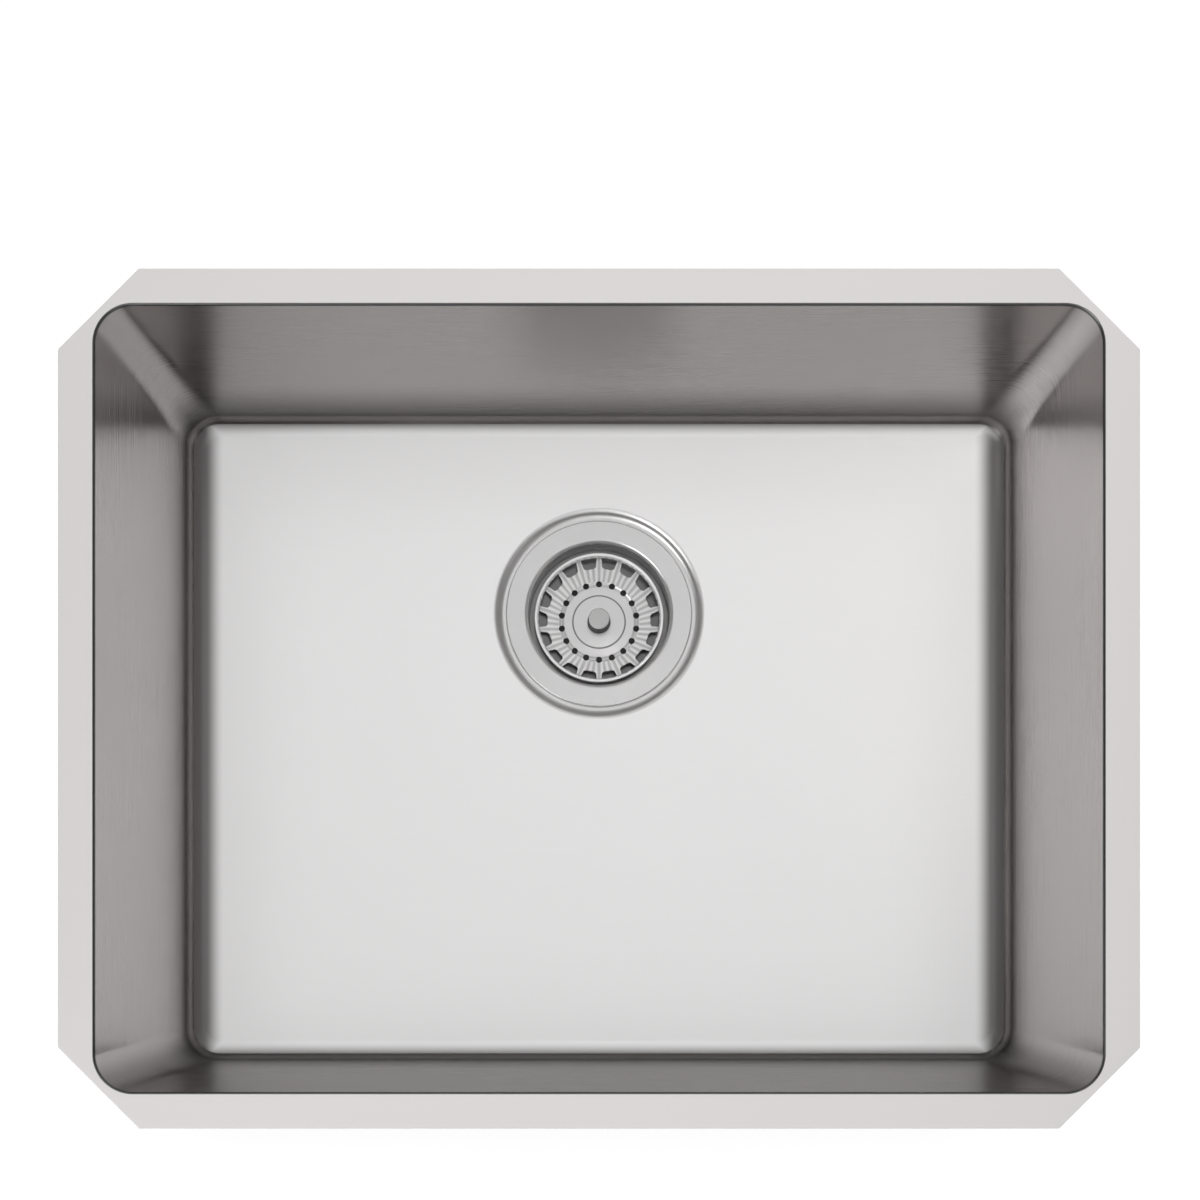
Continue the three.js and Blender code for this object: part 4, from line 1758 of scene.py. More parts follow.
@dataclass
class Strainer:
    """The flanged cup in the recess, its threaded outlet and the ring for the stem's clip.

    Args:
        axis: the drain's axis.
        sheet: the cup's thickness.
        lip_drop: turned-down outer edge of the flange.
        lip_round: rounding of the flange's outer edge.
        cup: radius inside the cup.
        mouth: rounding between flange and cup.
        straight: height of the cup's upright wall.
        seat_depth: from the flange's top to the seat.
        seat_width: width of the flat seat.
        spigot: outer radius of the outlet.
        spigot_wall: its wall.
        thread_pitch: distance between two turns of the outlet's thread.
        thread_depth: its depth.
        clip_bore: bore of the ring that takes the clip.
        clip_ring: wall of that ring.
        arm: width of the ring's arms.
        arm_height: height of the ring and its arms.
        arm_drop: from the seat down to the ring's top.
        arms: how many arms hold the ring.
        arm_root: how far an arm reaches into the ring.
        cup_round: rounding at the cup's foot.
        seat_round: rounding at the seat's outer edge.
        throat_round: rounding at the outlet's upper end.
    """

    axis: Axis
    sheet: float = 1.0
    lip_drop: float = 1.4
    lip_round: float = 0.9
    cup: float = 43.5
    mouth: float = 2.5
    straight: float = 21.0
    seat_depth: float = 39.7
    seat_width: float = 9.6
    spigot: float = 24.0
    spigot_wall: float = 2.6
    thread_pitch: float = 2.0
    thread_depth: float = 0.6
    clip_bore: float = 5.0
    clip_ring: float = 3.0
    arm: float = 3.0
    arm_height: float = 4.0
    arm_drop: float = 5.6
    arms: int = 4
    arm_root: float = 1.0
    cup_round: float = 3.0
    seat_round: float = 1.5
    throat_round: float = 0.8

    def _threads(self, seat: float, end: float) -> list[Corner]:
        """The outlet's outside from its lower end up to the cup, with its thread.

        Args:
            seat: level of the seat.
            end: level of the outlet's lower end.

        Returns:
            The section's corners.
        """
        root, pitch = self.spigot - self.thread_depth, self.thread_pitch
        corners = [Corner(root, end, 0.1)]
        level = end + pitch / 2
        while level < seat - self.sheet - 2 * pitch:
            for radius, share, rounding in (
                (root, 0.0, 0.15),
                (self.spigot, 0.35, 0.12),
                (self.spigot, 0.5, 0.12),
                (root, 0.85, 0.15),
            ):
                corners.append(Corner(radius, level + pitch * share, rounding))
            level += pitch
        return corners

    def build(self) -> Piece:
        """Makes the strainer body.

        Returns:
            The new object.
        """
        end, top = levels_of("strainer_body")
        lip, t = radius_of("strainer_body"), self.sheet
        seat = top - self.seat_depth
        straight_end = top - self.mouth - self.straight
        bore = self.spigot - self.spigot_wall
        seat_edge = bore + self.seat_width
        corners = [
            Corner(lip - t, top - t - self.lip_drop, 0.15),
            Corner(lip, top - t - self.lip_drop, 0.15),
            Corner(lip, top, self.lip_round),
            Corner(self.cup, top, self.mouth),
            Corner(self.cup, straight_end, self.cup_round),
            Corner(seat_edge, seat, self.seat_round),
            Corner(bore, seat, self.throat_round),
            Corner(bore, end, 0.2),
            *self._threads(seat, end),
            Corner(self.spigot - self.thread_depth, seat - t, self.throat_round),
            Corner(seat_edge, seat - t, self.seat_round),
            Corner(self.cup + t, straight_end, self.cup_round),
            Corner(self.cup + t, top - t, max(self.mouth - t, 0.3)),
            Corner(lip - t, top - t, 0.2),
        ]
        body = self.axis.turned("strainer_cup", corners)
        ring_top = seat - self.arm_drop
        levels = (ring_top - self.arm_height, ring_top)
        outer = self.clip_bore + self.clip_ring
        ring = self.axis.hoop("clip_ring", self.clip_bore, outer, levels, 0.3)
        inner, reach, half = outer - self.arm_root, bore + self.spigot_wall / 2, self.arm / 2
        outline = [(inner, -half), (reach, -half), (reach, half), (inner, half)]
        arm = prism("arm", outline, levels)
        start = math.pi / self.arms
        ring = CopyRing(self.axis, self.arms, start, Cut.ONTO).apply(ring, arm, FINISH.turned)
        return smoothed(joined(body, smoothed(ring)), 40.0)

    def dress(self) -> None:
        """Makes and dresses the strainer body."""
        finishes = (FINISH.turned,)
        dress(self.build(), Body.SINK, Slot.POLISHED, finishes, "strainer_body")


def joined(piece: Piece, *others: Piece) -> Piece:
    """Unites a piece with others into one closed mesh.

    Args:
        piece: the piece that is kept.
        others: the pieces that become part of it, which are removed.

    Returns:
        The first piece with the united mesh.
    """
    for other in others:
        modifier = piece.modifiers.new("join", "BOOLEAN")
        modifier.operation = "UNION"
        modifier.solver = "EXACT"
        modifier.object = other
    return bake(piece, *others)


@dataclass
class StrainerFixings:
    """The seals, the friction ring and the lock nut that clamp the strainer to the bowl.

    Args:
        axis: the drain's axis.
        hole: radius of the drain hole, which is the flange seal's bore.
        bore: bore of what slides on the cup.
        nut_wall: wall of the lock nut.
        lugs: how many lugs it has.
        lug_width: width of a lug.
        lug_taper: how much narrower a lug is at its end.
        lug_inset: how far a lug stays inside the nut's lower and upper face.
    """

    axis: Axis
    hole: float = 46.0
    bore: float = 44.85
    nut_wall: float = 6.0
    lugs: int = 6
    lug_width: float = 12.0
    lug_taper: float = 1.5
    lug_inset: float = 0.4

    def nut(self) -> Piece:
        """Makes the lock nut with its lugs.

        Returns:
            The new object.
        """
        low, high = levels_of("lock_nut")
        outer, tip = self.bore + self.nut_wall, radius_of("lock_nut")
        body = self.axis.hoop("lock_ring", self.bore, outer, (low, high), 0.6)
        half, end = self.lug_width / 2, self.lug_width / 2 - self.lug_taper
        root = outer - self.nut_wall / 2
        side = [(root, half), (outer, half), (tip, end)]
        outline = [*((x, -y) for x, y in side), *side[::-1]]
        lug = prism("lug", outline, (low + self.lug_inset, high - self.lug_inset))
        whole = CopyRing(self.axis, self.lugs, 0.0, Cut.ONTO).apply(body, lug, FINISH.zinc)
        return smoothed(whole)

    def dress(self) -> None:
        """Makes and dresses the rings and the nut."""
        rings = (
            ("flange_seal", "flange_seal_ring", self.hole, Slot.SEAL, FINISH.seal, 0.3),
            ("under_gasket", "rubber_gasket", self.bore, Slot.SEAL, FINISH.seal, 0.5),
            ("friction_ring", "fibre_ring", self.bore, Slot.FIBRE, FINISH.fibre, 0.15),
        )
        for node, name, bore, slot, finish, edge in rings:
            ring = self.axis.hoop(name, bore, radius_of(node), levels_of(node), edge)
            dress(ring, Body.SINK, slot, (finish,), node)
        dress(self.nut(), Body.SINK, Slot.ZINC, (FINISH.zinc,), "lock_nut")


@dataclass
class Outlet:
    """The tailpiece under the strainer, with its washer and its coupling nut.

    Args:
        axis: the drain's axis.
        tube: outer radius of the tailpiece.
        wall: its wall.
        collar: thickness of its collar.
        collar_radius: radius of its collar.
        nut_bore: bore of the coupling nut round the outlet.
        lip: thickness of the nut's inward lip.
        lip_gap: gap between lip and tailpiece.
        faces: how many flats the nut has.
    """

    axis: Axis
    tube: float = 19.05
    wall: float = 1.2
    collar: float = 1.6
    collar_radius: float = 24.0
    nut_bore: float = 24.35
    lip: float = 2.2
    lip_gap: float = 0.35
    faces: int = 8

    def tailpiece(self) -> Piece:
        """Makes the collared tube.

        Returns:
            The new object.
        """
        low, high = levels_of("tailpiece")
        bore = self.tube - self.wall
        corners = [
            Corner(bore, low, 0.3),
            Corner(self.tube, low, 0.4),
            Corner(self.tube, high - self.collar, 0.5),
            Corner(self.collar_radius, high - self.collar, 0.5),
            Corner(self.collar_radius, high, 0.5),
            Corner(bore, high, 0.8),
        ]
        return self.axis.turned("outlet_tube", corners)

    def nut(self) -> Piece:
        """Makes the faceted coupling nut: a turned blank whose outside is cut to flats.

        Returns:
            The new object.
        """
        low, high = levels_of("coupling_nut")
        outer = radius_of("coupling_nut")
        across = outer * math.cos(math.pi / self.faces)
        slope = outer - across
        corners = [
            Corner(self.tube + self.lip_gap, low, 0.3),
            Corner(across - 0.4, low, 0.3),
            Corner(outer - 0.05, low + slope * 0.8, 0.3),
            Corner(outer - 0.05, high - slope * 0.8, 0.3),
            Corner(across - 0.4, high, 0.3),
            Corner(self.nut_bore + 0.6, high, 0.2),
            Corner(self.nut_bore, high - 0.8, 0.2),
            Corner(self.nut_bore, low + self.lip, 0.3),
            Corner(self.tube + self.lip_gap, low + self.lip, 0.3),
        ]
        blank = self.axis.turned("coupling", corners)
        far = across + outer
        outline = [(across, -outer), (far, -outer), (far, outer), (across, outer)]
        flat = prism("flat", outline, (low - SPARE, high + SPARE))
        ring = CopyRing(self.axis, self.faces, math.pi / self.faces, Cut.AWAY)
        return smoothed(ring.apply(blank, flat, FINISH.zinc), CRISP)

    def dress(self) -> None:
        """Makes and dresses the outlet's pieces."""
        bore = self.tube - self.wall
        washer = self.axis.hoop(
            "cone_washer", bore, radius_of("tail_washer"), levels_of("tail_washer"), 0.4
        )
        dress(washer, Body.SINK, Slot.PLASTIC, (FINISH.plastic,), "tail_washer")
        dress(self.tailpiece(), Body.SINK, Slot.POLISHED, (FINISH.turned,), "tailpiece")
        dress(self.nut(), Body.SINK, Slot.ZINC, (FINISH.zinc,), "coupling_nut")


# ---- Basket


@dataclass
class Basket:
    """The lift-out basket: rolled rim, short wall, slotted slope, ring of holes and hub.

    Args:
        axis: the drain's axis.
        sheet: its steel's thickness.
        rim: thickness of the rolled rim.
        lean: how far the short wall leans in.
        wall: height of the short wall.
        slope_run: radial width of the slope.
        groove: width of the groove that the holes stand in.
        groove_depth: its depth.
        step: radius of the hub's raised disc.
        step_height: its height.
        perforations: how many slots there are, and how many holes.
        hole: radius of a hole.
        slot_reach: how far the slots run down the slope.
        rib_foot: width between two slots at their inner ends.
        rib_top: width between two slots at their outer ends.
        bore: the stem's hole.
        facet_start: radial width over which the facets start.
        facet_end: radial width over which they end.
        roll: rounding of the rim, as a share of its thickness.
        hole_points: points round a hole.
    """

    axis: Axis
    sheet: float = 0.8
    rim: float = 1.7
    lean: float = 1.1
    wall: float = 3.8
    slope_run: float = 11.7
    groove: float = 3.5
    groove_depth: float = 0.9
    step: float = 16.8
    step_height: float = 0.4
    perforations: int = 18
    hole: float = 1.95
    slot_reach: float = 5.0
    rib_foot: float = 4.6
    rib_top: float = 2.6
    bore: float = 3.35
    facet_start: float = 2.0
    facet_end: float = 1.5
    roll: float = 0.49
    hole_points: int = 20

    def _surface(self) -> list[Corner]:
        """The upper surface from the hub's middle out to the rim.

        Returns:
            The section's corners.
        """
        low, top = levels_of("basket_cup")
        hub = low + self.sheet + self.groove_depth
        outer = radius_of("basket_cup")
        wall_top = outer - self.rim
        wall_foot = wall_top - self.lean
        foot = wall_foot - self.slope_run
        return [
            Corner(self.bore, hub + self.step_height, 0.1),
            Corner(self.step - self.step_height, hub + self.step_height, 0.3),
            Corner(self.step, hub, 0.25),
            Corner(foot - self.groove, hub, 0.6),
            Corner(foot - self.groove / 2, hub - self.groove_depth, 1.0),
            Corner(foot, hub, 0.8),
            Corner(wall_foot, top - self.rim - self.wall, 2.2),
            Corner(wall_top, top - self.rim, 0.4),
        ]

    def _shape(self, spot: Spot, foot: float, wall_foot: float) -> Callable | None:
        """The facets of the slope, strongest in its middle, with an edge at each rib.

        Args:
            spot: the section's point.
            foot: radius of the slope's foot.
            wall_foot: radius of the short wall's foot.

        Returns:
            What gives the share of the radius at each angle, or None where the basket is round.
        """
        if not foot < spot.radius < wall_foot + self.lean:
            return None
        inside, outside = spot.radius - foot, wall_foot + self.lean - spot.radius
        share = min(1.0, inside / self.facet_start, outside / self.facet_end)
        pitch = TURN / self.perforations
        weight = max(share, 0.0)

        def share_of_radius(angles: np.ndarray) -> np.ndarray:
            """The share of the radius at each angle.

            Args:
                angles: the angles.

            Returns:
                The shares.
            """
            local = (angles - QUARTER + pitch / 2) % pitch - pitch / 2
            local = np.abs(local) - pitch / 2
            flat = math.cos(pitch / 2) / np.cos(local)
            return 1.0 - weight * (1.0 - flat)

        return share_of_radius

    def shell(self) -> Piece:
        """Makes the basket before it is pierced.

        Returns:
            The new object.
        """
        upper = self._surface()
        top = levels_of("basket_cup")[1]
        outer = radius_of("basket_cup")
        wall_foot = outer - self.rim - self.lean
        foot = wall_foot - self.slope_run
        curl = self.rim * self.roll
        rim = [
            Corner(outer, top - self.rim, curl),
            Corner(outer, top, curl),
            Corner(outer - self.rim, top, curl),
        ]
        lower = [
            Corner(c.radius + (self.sheet if i > 1 else 0.0), c.level - self.sheet, c.rounding)
            for i, c in enumerate(upper[:-1])
        ]
        lower[3:6] = [
            Corner(c.radius + 0.3, c.level - self.sheet, c.rounding) for c in upper[3:6]
        ]
        wall_out = Corner(upper[-1].radius + self.sheet * 0.7, top - self.rim, 0.3)
        skin = Skin()
        spots, _ = section([*lower, wall_out, *rim, *upper[-2::-1]])
        rings = [
            self.axis.ring(skin, spot, self._shape(spot, foot, wall_foot)) for spot in spots
        ]
        for before, after in zip(rings, rings[1:]):
            skin.join(before, after)
        skin.join(rings[-1], rings[0])
        skin.normals.clear()
        return skin.piece("drain_basket")

    def _slot(self) -> Piece:
        """The tool that cuts one slot, pointing along X.

        Returns:
            The new object.
        """
        low, top = levels_of("basket_cup")
        outer = radius_of("basket_cup")
        reach_in = outer - self.rim - self.lean - self.slot_reach
        reach_out = outer - self.rim + self.sheet
        pitch = math.pi / self.perforations
        half_in = pitch - math.asin(self.rib_foot / 2 / reach_in)
        half_out = pitch - math.asin(self.rib_top / 2 / reach_out)
        soft = 0.35
        rows = [
            (reach_in, half_in * (1 - soft)),
            (reach_in + 0.35, half_in * 0.92),
            (reach_in + 1.0, half_in * 0.6 + half_out * 0.4),
            (reach_out, half_out),
        ]
        corners = [(r * math.cos(a), r * math.sin(a)) for r, a in rows]
        steps = np.linspace(half_out, -half_out, 5)[1:-1]
        arc = [(reach_out * math.cos(a), reach_out * math.sin(a)) for a in steps]
        mirrored = [(x, -y) for x, y in corners[::-1]]
        outline = [*corners, *arc, *mirrored][::-1]
        return prism("slot", outline, (low - SPARE, top - self.rim - self.wall / 3))

    def _hole(self) -> Piece:
        """The tool that drills one hole, on the X axis.

        Returns:
            The new object.
        """
        low, top = levels_of("basket_cup")
        outer = radius_of("basket_cup")
        ring = outer - self.rim - self.lean - self.slope_run - self.groove / 2
        angles = np.arange(self.hole_points) * TURN / self.hole_points
        outline = [(ring + self.hole * math.cos(a), self.hole * math.sin(a)) for a in angles]
        return prism("hole", outline, (low - SPARE, top))

    def build(self) -> Piece:
        """Makes the pierced basket.

        Returns:
            The new object.
        """
        pitch = TURN / self.perforations
        basket = self.shell()
        slots = CopyRing(self.axis, self.perforations, QUARTER + pitch / 2, Cut.AWAY)
        holes = CopyRing(self.axis, self.perforations, QUARTER, Cut.AWAY)
        slots.apply(basket, self._slot(), FINISH.bright)
        holes.apply(basket, self._hole(), FINISH.bright)
        return smoothed(basket, 35.0)

    def dress(self) -> None:
        """Makes and dresses the basket."""
        dress(self.build(), Body.BASKET, Slot.POLISHED, (FINISH.bright,), "basket_cup")


@dataclass
class StopperStack:
    """The stem with its knob, and the stopper, washers, nut and clip under the basket.

    Args:
        axis: the drain's axis.
        stem: radius of the stem.
        bore: radius of the holes that it goes through.
        knob_top: radius of the knob's top.
        knob_edge: rounding of its upper edge.
        knob_bore: depth of its bore.
        stopper_bevel: bevel of the stopper's lower edge.
        nut_faces: how many flats the stem's nut has.
        overlap: how far a tool reaches past the corners that it cuts.
        corner_gap: how far the nut's blank stays inside its corners, so that no cut only
            touches it.
        clip_wall: wall of the clip.
        clip_slot: width of the clip's slots.
        clip_slots: how many slots it has.
    """

    axis: Axis
    stem: float = 3.0
    bore: float = 3.35
    knob_top: float = 6.5
    knob_edge: float = 0.5
    knob_bore: float = 8.5
    stopper_bevel: float = 2.5
    nut_faces: int = 6
    overlap: float = 0.3
    corner_gap: float = 0.07
    clip_wall: float = 0.6
    clip_slot: float = 1.2
    clip_slots: int = 4

    def knob(self) -> Piece:
        """Makes the knob with its blind bore.

        Returns:
            The new object.
        """
        low, high = levels_of("basket_knob")
        base = radius_of("basket_knob")
        ceiling = low + self.knob_bore
        corners = [
            Corner(0.0, ceiling),
            Corner(self.bore, ceiling, 0.2),
            Corner(self.bore, low, 0.2),
            Corner(base, low, 0.4),
            Corner(base - 0.25, low + 1.6, 0.6),
            Corner(self.knob_top, high, self.knob_edge),
            Corner(self.knob_top * 0.5, high - 0.01, 1.0),
            Corner(0.0, high - 0.01),
        ]
        return self.axis.turned("knob", corners)

    def post(self) -> Piece:
        """Makes the stem.

        Returns:
            The new object.
        """
        low, high = levels_of("basket_stem")
        corners = [
            Corner(0.0, low),
            Corner(self.stem, low, 0.6),
            Corner(self.stem, high, 0.4),
            Corner(0.0, high),
        ]
        return self.axis.turned("stem", corners)

    def stopper(self) -> Piece:
        """Makes the rubber stopper with its bevelled sealing edge.

        Returns:
            The new object.
        """
        low, high = levels_of("stopper_seal")
        outer, plate = radius_of("stopper_seal"), radius_of("stopper_plate")
        corners = [
            Corner(self.bore, low, 0.3),
            Corner(outer - self.stopper_bevel, low, 0.8),
            Corner(outer, low + self.stopper_bevel, 0.6),
            Corner(outer - 0.6, low + self.stopper_bevel + 0.9, 0.4),
            Corner(plate, high, 0.8),
            Corner(self.bore, high, 0.3),
        ]
        return self.axis.turned("rubber_stopper", corners)

    def nut(self) -> Piece:
        """Makes the stem's nut: a turned blank whose outside is cut to flats.

        Returns:
            The new object.
        """
        low, high = levels_of("stem_nut")
        low_box, high_box = box_mm("stem_nut")
        outer = float(high_box[1] - low_box[1]) / 2
        across = outer * math.cos(math.pi / self.nut_faces)
        corners = [
            Corner(self.bore, low + 0.3, 0.1),
            Corner(self.bore + 0.3, low, 0.1),
            Corner(across - 0.1, low, 0.15),
            Corner(outer - self.corner_gap, low + 0.5, 0.15),
            Corner(outer - self.corner_gap, high - 0.5, 0.15),
            Corner(across - 0.1, high, 0.15),
            Corner(self.bore + 0.3, high, 0.1),
            Corner(self.bore, high - 0.3, 0.1),
        ]
        blank = self.axis.turned("small_nut", corners)
        half = outer * math.sin(math.pi / self.nut_faces) + self.overlap
        far = outer + self.overlap
        outline = [(across, -half), (far, -half), (far, half), (across, half)]
        flat = prism("flat", outline, (low - SPARE, high + SPARE))
        ring = CopyRing(self.axis, self.nut_faces, 0.0, Cut.AWAY)
        return smoothed(ring.apply(blank, flat, FINISH.turned), CRISP)

    def clip(self) -> Piece:
        """Makes the split plug that snaps into the strainer's ring.

        Returns:
            The new object.
        """
        low, high = levels_of("stem_clip")
        waist = (low + high) / 2
        neck = self.bore + self.clip_wall
        bulge = radius_of("stem_clip")
        corners = [
            Corner(self.bore, low, 0.1),
            Corner(neck, low, 0.25),
            Corner(bulge, waist, 1.2),
            Corner(neck, high, 0.2),
            Corner(self.bore, high, 0.1),
        ]
        plug = self.axis.turned("spring_plug", corners)
        half = self.clip_slot / 2
        outline = [(1.0, -half), (3 * bulge, -half), (3 * bulge, half), (1.0, half)]
        tool = prism("slit", outline, (low - SPARE, high - (high - low) / 4))
        ring = CopyRing(self.axis, self.clip_slots, 0.0, Cut.AWAY)
        return smoothed(ring.apply(plug, tool, FINISH.plastic))

    def dress(self) -> None:
        """Makes and dresses the stack."""
        plate = self.axis.hoop(
            "backing_disc", self.bore, radius_of("stopper_plate"), levels_of("stopper_plate"), 0.3
        )
        washer = self.axis.hoop(
            "small_washer", self.bore, radius_of("seal_washer"), levels_of("seal_washer"), 0.2
        )
        rows = (
            (self.knob(), Slot.KNOB, FINISH.knob, "basket_knob"),
            (self.post(), Slot.POLISHED, FINISH.turned, "basket_stem"),
            (plate, Slot.POLISHED, FINISH.turned, "stopper_plate"),
            (self.stopper(), Slot.SEAL, FINISH.seal, "stopper_seal"),
            (washer, Slot.POLISHED, FINISH.turned, "seal_washer"),
            (self.nut(), Slot.POLISHED, FINISH.turned, "stem_nut"),
            (self.clip(), Slot.PLASTIC, FINISH.plastic, "stem_clip"),
        )
        for piece, slot, finish, node in rows:
            dress(piece, Body.STOPPER, slot, (finish,), node)


# ---- Studio


@dataclass
class Lamp:
    """A soft square lamp that points at the sink.

    Args:
        title: its name.
        place: where it stands, in metres.
        side: its side, in metres.
        power: its power in watts.
        glossy: whether it shows in reflections.
    """

    title: str
    place: Triple
    side: float
    power: float
    glossy: bool = False

    def build(self, aim: Sequence[float]) -> None:
        """Makes the lamp and points it at a place.

        Args:
            aim: the place, in metres.
        """
        data = bpy.data.lights.new(self.title, "AREA")
        data.shape = "SQUARE"
        data.size = self.side
        data.energy = self.power
        made = bpy.data.objects.new(self.title, data)
        bpy.context.scene.collection.objects.link(made)
        away = Vector(self.place) - Vector(aim)
        made.location = self.place
        made.rotation_euler = away.to_track_quat("Z", "Y").to_euler()
        made.visible_glossy = self.glossy
        made.visible_camera = False


@dataclass(frozen=True)
class Window:
    """A soft bright patch of the surroundings that only metal sees.

    Args:
        heading: direction in degrees, counter-clockwise from the right.
        lean: angle from straight overhead, in degrees.
        reach: angle from its middle to where it has faded, in degrees.
        strength: its brightness.
    """

    heading: float
    lean: float
    reach: float
    strength: float

    def glow(self, board: Board, direction: Wire) -> Wire:
        """The patch's brightness in a direction.

        Args:
            board: the nodes.
            direction: the direction.

        Returns:
            The brightness.
        """
        turn, lean = math.radians(self.heading), math.radians(self.lean)
        flat = math.sin(lean)
        middle = (flat * math.cos(turn), flat * math.sin(turn), math.cos(lean))
        settings = {"operation": "DOT_PRODUCT"}
        inputs = {0: direction, 1: middle}
        near = board.node("ShaderNodeVectorMath", settings, inputs, "Value")
        edges = math.cos(math.radians(self.reach)), math.cos(math.radians(self.reach * 0.5))
        return near.step(*edges) * self.strength


@dataclass
class Studio:
    """The pale floor, the white surroundings, the lamps and the camera.

    Args:
        floor_gap: from the object's lowest point to the floor, in metres.
        floor_size: the floor's side, in metres.
        floor_tone: how much of the light the floor gives back to the object.
        floor_faint: how much of it the camera sees, which shows the shadow.
        floor_glow: brightness that the camera sees on the floor without any light.
        overhead: brightness of the surroundings overhead, as metal sees them.
        overhead_side: sideways part of a direction where overhead starts to fade and ends.
        overhead_front: its forward part where overhead starts to fade and ends.
        overhead_rise: its upward part where overhead is full.
        dark: brightness of the dark band between overhead and horizon.
        horizon: brightness of the horizon, as metal sees it.
        horizon_edge: height of direction where the horizon is full and where it ends.
        windows: bright patches of the surroundings.
        ambient: brightness of the surroundings as matt surfaces see them.
        lens: the camera's focal length on a 36 mm sensor.
        shift: the camera's shift, because the photograph shows only part of the image circle.
        station: where the camera stands, in metres.
        lamps: the lamps.
        aim: the place that the lamps point at, in metres.
        sensor: width of the camera's sensor in millimetres.
        clip: nearest and farthest distance that the camera shows, in metres.
    """

    floor_gap: float = 0.001
    floor_size: float = 24.0
    floor_tone: float = 0.82
    floor_faint: float = 0.1
    floor_glow: float = 0.92
    overhead: float = 1.1
    overhead_side: Pair = (0.3, 0.5)
    overhead_front: Pair = (0.8, 0.95)
    overhead_rise: float = 0.1
    dark: float = 0.05
    horizon: float = 0.7
    horizon_edge: Pair = (0.18, 0.36)
    windows: tuple[Window, ...] = (
        Window(heading=222.0, lean=48.0, reach=22.0, strength=5.0),
        Window(heading=45.0, lean=50.0, reach=18.0, strength=0.9),
    )
    ambient: float = 0.12
    lens: float = 51.67
    shift: Pair = (0.00083, 0.2608)
    station: Triple = (0.0, -0.1062, 0.853)
    lamps: tuple[Lamp, ...] = (
        Lamp("overhead softbox", (0.08, 0.15, 2.0), 0.3, 40.0),
        Lamp("right softbox", (1.5, -0.1, 0.4), 0.1, 12.0),
        Lamp("left softbox", (-1.5, -0.1, 0.4), 0.1, 12.0),
    )
    aim: Triple = (0.0, 0.0, -0.1)
    sensor: float = 36.0
    clip: Pair = (0.05, 100.0)

    def _seen(self, board: Board) -> tuple[Wire, Wire]:
        """Whether a ray comes from the camera, and whether metal or glass sent it.

        Args:
            board: the nodes.

        Returns:
            The two answers, each 0 or 1.
        """
        rays = [
            board.node("ShaderNodeLightPath", None, None, name)
            for name in ("Is Camera Ray", "Is Glossy Ray", "Is Transmission Ray")
        ]
        return rays[0], rays[1].larger(rays[2])

    def surroundings(self) -> None:
        """White for the camera. Metal sees white overhead and a dark band round it."""
        world = bpy.data.worlds.new("white studio")
        bpy.context.scene.world = world
        world.use_nodes = True
        board = Board(world.node_tree)
        camera, metal = self._seen(board)
        direction = board.node("ShaderNodeTexCoord", output="Generated")
        side, front, rise = axes(board, direction, "XYZ")
        up = rise.step(0.0, self.overhead_rise)
        narrow = 1.0 - side.size().step(*self.overhead_side)
        long = 1.0 - front.size().step(*self.overhead_front)
        overhead = narrow * long * up * (self.overhead - self.dark)
        low = 1.0 - rise.size().step(*self.horizon_edge)
        horizon = low * (self.horizon - self.dark)
        mirrored = overhead + horizon + self.dark
        for window in self.windows:
            mirrored = mirrored + window.glow(board, direction)
        matt = 1.0 - camera.larger(metal)
        strength = camera + metal * mirrored + matt * self.ambient
        white = {"Color": (1.0, 1.0, 1.0, 1.0), "Strength": strength}
        shader = board.node("ShaderNodeBackground", None, white)
        board.node("ShaderNodeOutputWorld", None, {"Surface": shader})

    def floor(self, level: float) -> None:
        """A white floor that keeps a faint shadow and can be seen through from below.

        Args:
            level: its level, in metres.
        """
        half = self.floor_size / 2
        mesh = bpy.data.meshes.new("studio_floor")
        corners = [(-half, -half), (half, -half), (half, half), (-half, half)]
        mesh.from_pydata([(x, y, level) for x, y in corners], [], [(0, 1, 2, 3)])
        made = bpy.data.objects.new("studio_floor", mesh)
        bpy.context.scene.collection.objects.link(made)
        material = bpy.data.materials.new("white floor")
        material.use_nodes = True
        board = Board(material.node_tree)
        camera, metal = self._seen(board)
        pale = board.node("ShaderNodeBsdfDiffuse", None, {"Color": grey(self.floor_tone)})
        faint = board.node("ShaderNodeBsdfDiffuse", None, {"Color": grey(self.floor_faint)})
        light = {"Color": grey(1.0), "Strength": self.floor_glow}
        glow = board.node("ShaderNodeEmission", None, light)
        white = board.node("ShaderNodeAddShader", None, {0: faint, 1: glow})
        shown = board.node(
            "ShaderNodeMixShader", None, {0: camera.larger(metal), 1: pale, 2: white}
        )
        clear = board.node("ShaderNodeBsdfTransparent")
        back = board.node("ShaderNodeNewGeometry", output="Backfacing")
        surface = board.node("ShaderNodeMixShader", None, {0: back, 1: shown, 2: clear})
        board.node("ShaderNodeOutputMaterial", None, {"Surface": surface})
        mesh.materials.append(material)
        made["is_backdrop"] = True

    def camera(self) -> None:
        """The camera looks straight down, as in the photograph."""
        data = bpy.data.cameras.new("camera")
        data.sensor_width = self.sensor
        data.lens = self.lens
        data.shift_x, data.shift_y = self.shift
        data.clip_start, data.clip_end = self.clip
        made = bpy.data.objects.new("camera", data)
        made.location = self.station
        bpy.context.scene.collection.objects.link(made)
        bpy.context.scene.camera = made

    def build(self, lowest: float) -> None:
        """Makes the studio round an object whose lowest point is given, in metres.

        Args:
            lowest: level of that point.
        """
        self.surroundings()
        self.floor(lowest - self.floor_gap)
        for lamp in self.lamps:
            lamp.build(self.aim)
        self.camera()
        bpy.context.scene.view_settings.view_transform = "Standard"


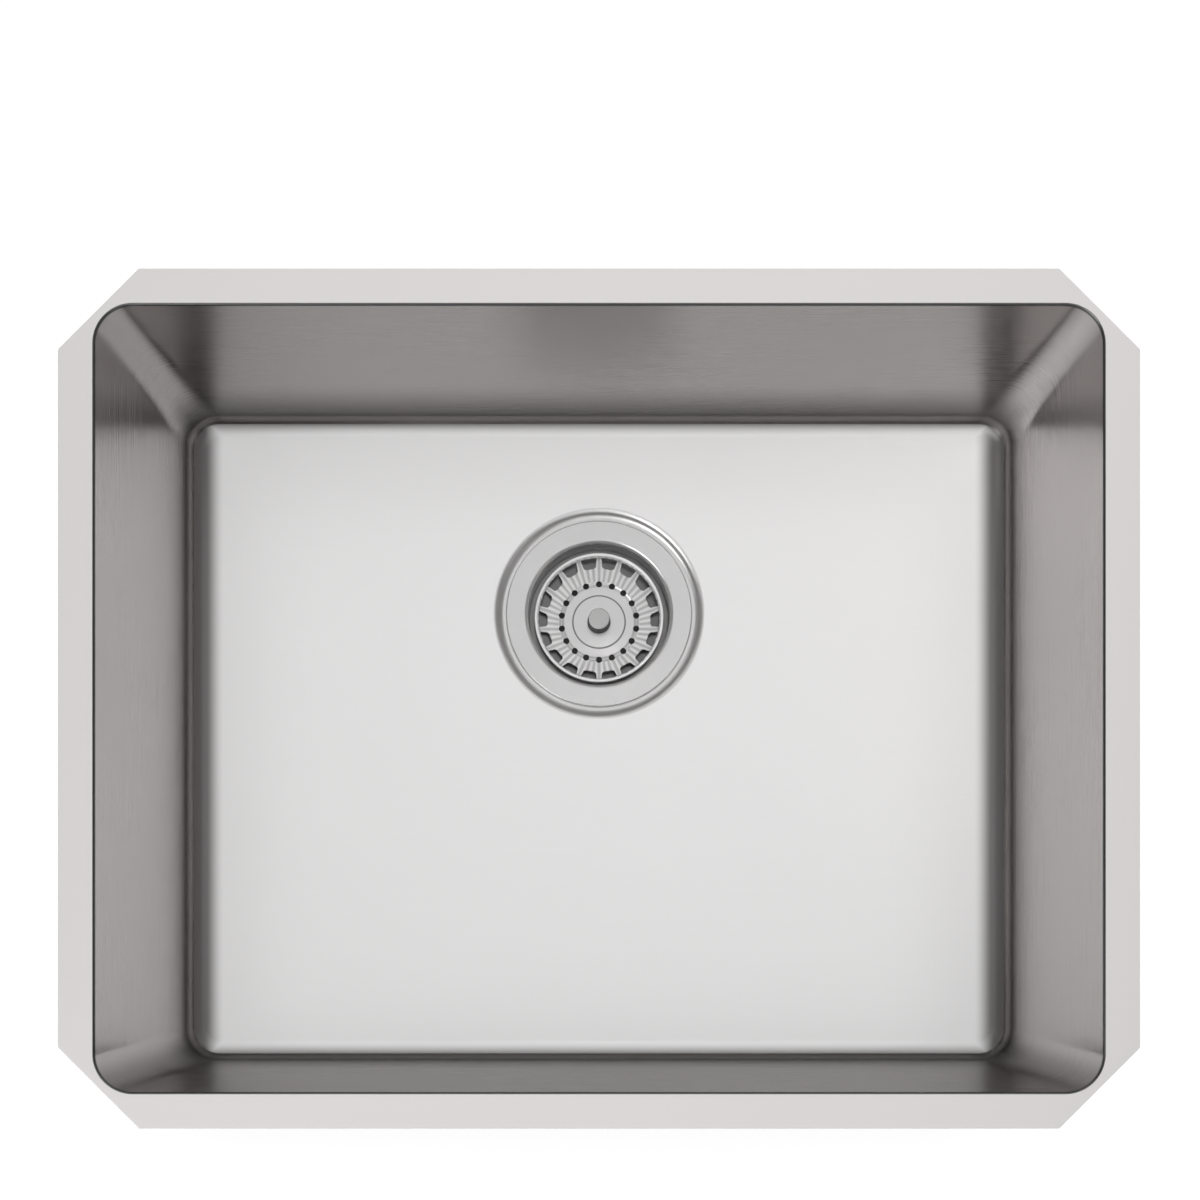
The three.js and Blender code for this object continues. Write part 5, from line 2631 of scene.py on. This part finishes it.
def main() -> None:
    """Builds and dresses every sub-assembly, then the studio."""
    logging.basicConfig(level=logging.INFO, format="%(name)s: %(message)s")
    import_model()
    cad_size = [list(corner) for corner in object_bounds()]
    low, high = box_mm("strainer_body")
    middle = (low + high) / 2
    axis = Axis(float(middle[0]), float(middle[1]))
    bowl = Bowl(axis)
    bowl.dress()
    SoundPads(axis, bowl).dress()
    Strainer(axis).dress()
    StrainerFixings(axis).dress()
    Outlet(axis).dress()
    Basket(axis).dress()
    StopperStack(axis).dress()
    Studio().build(cad_size[0][2])
    log.info("sizes written")


if __name__ == "__main__":
    main()
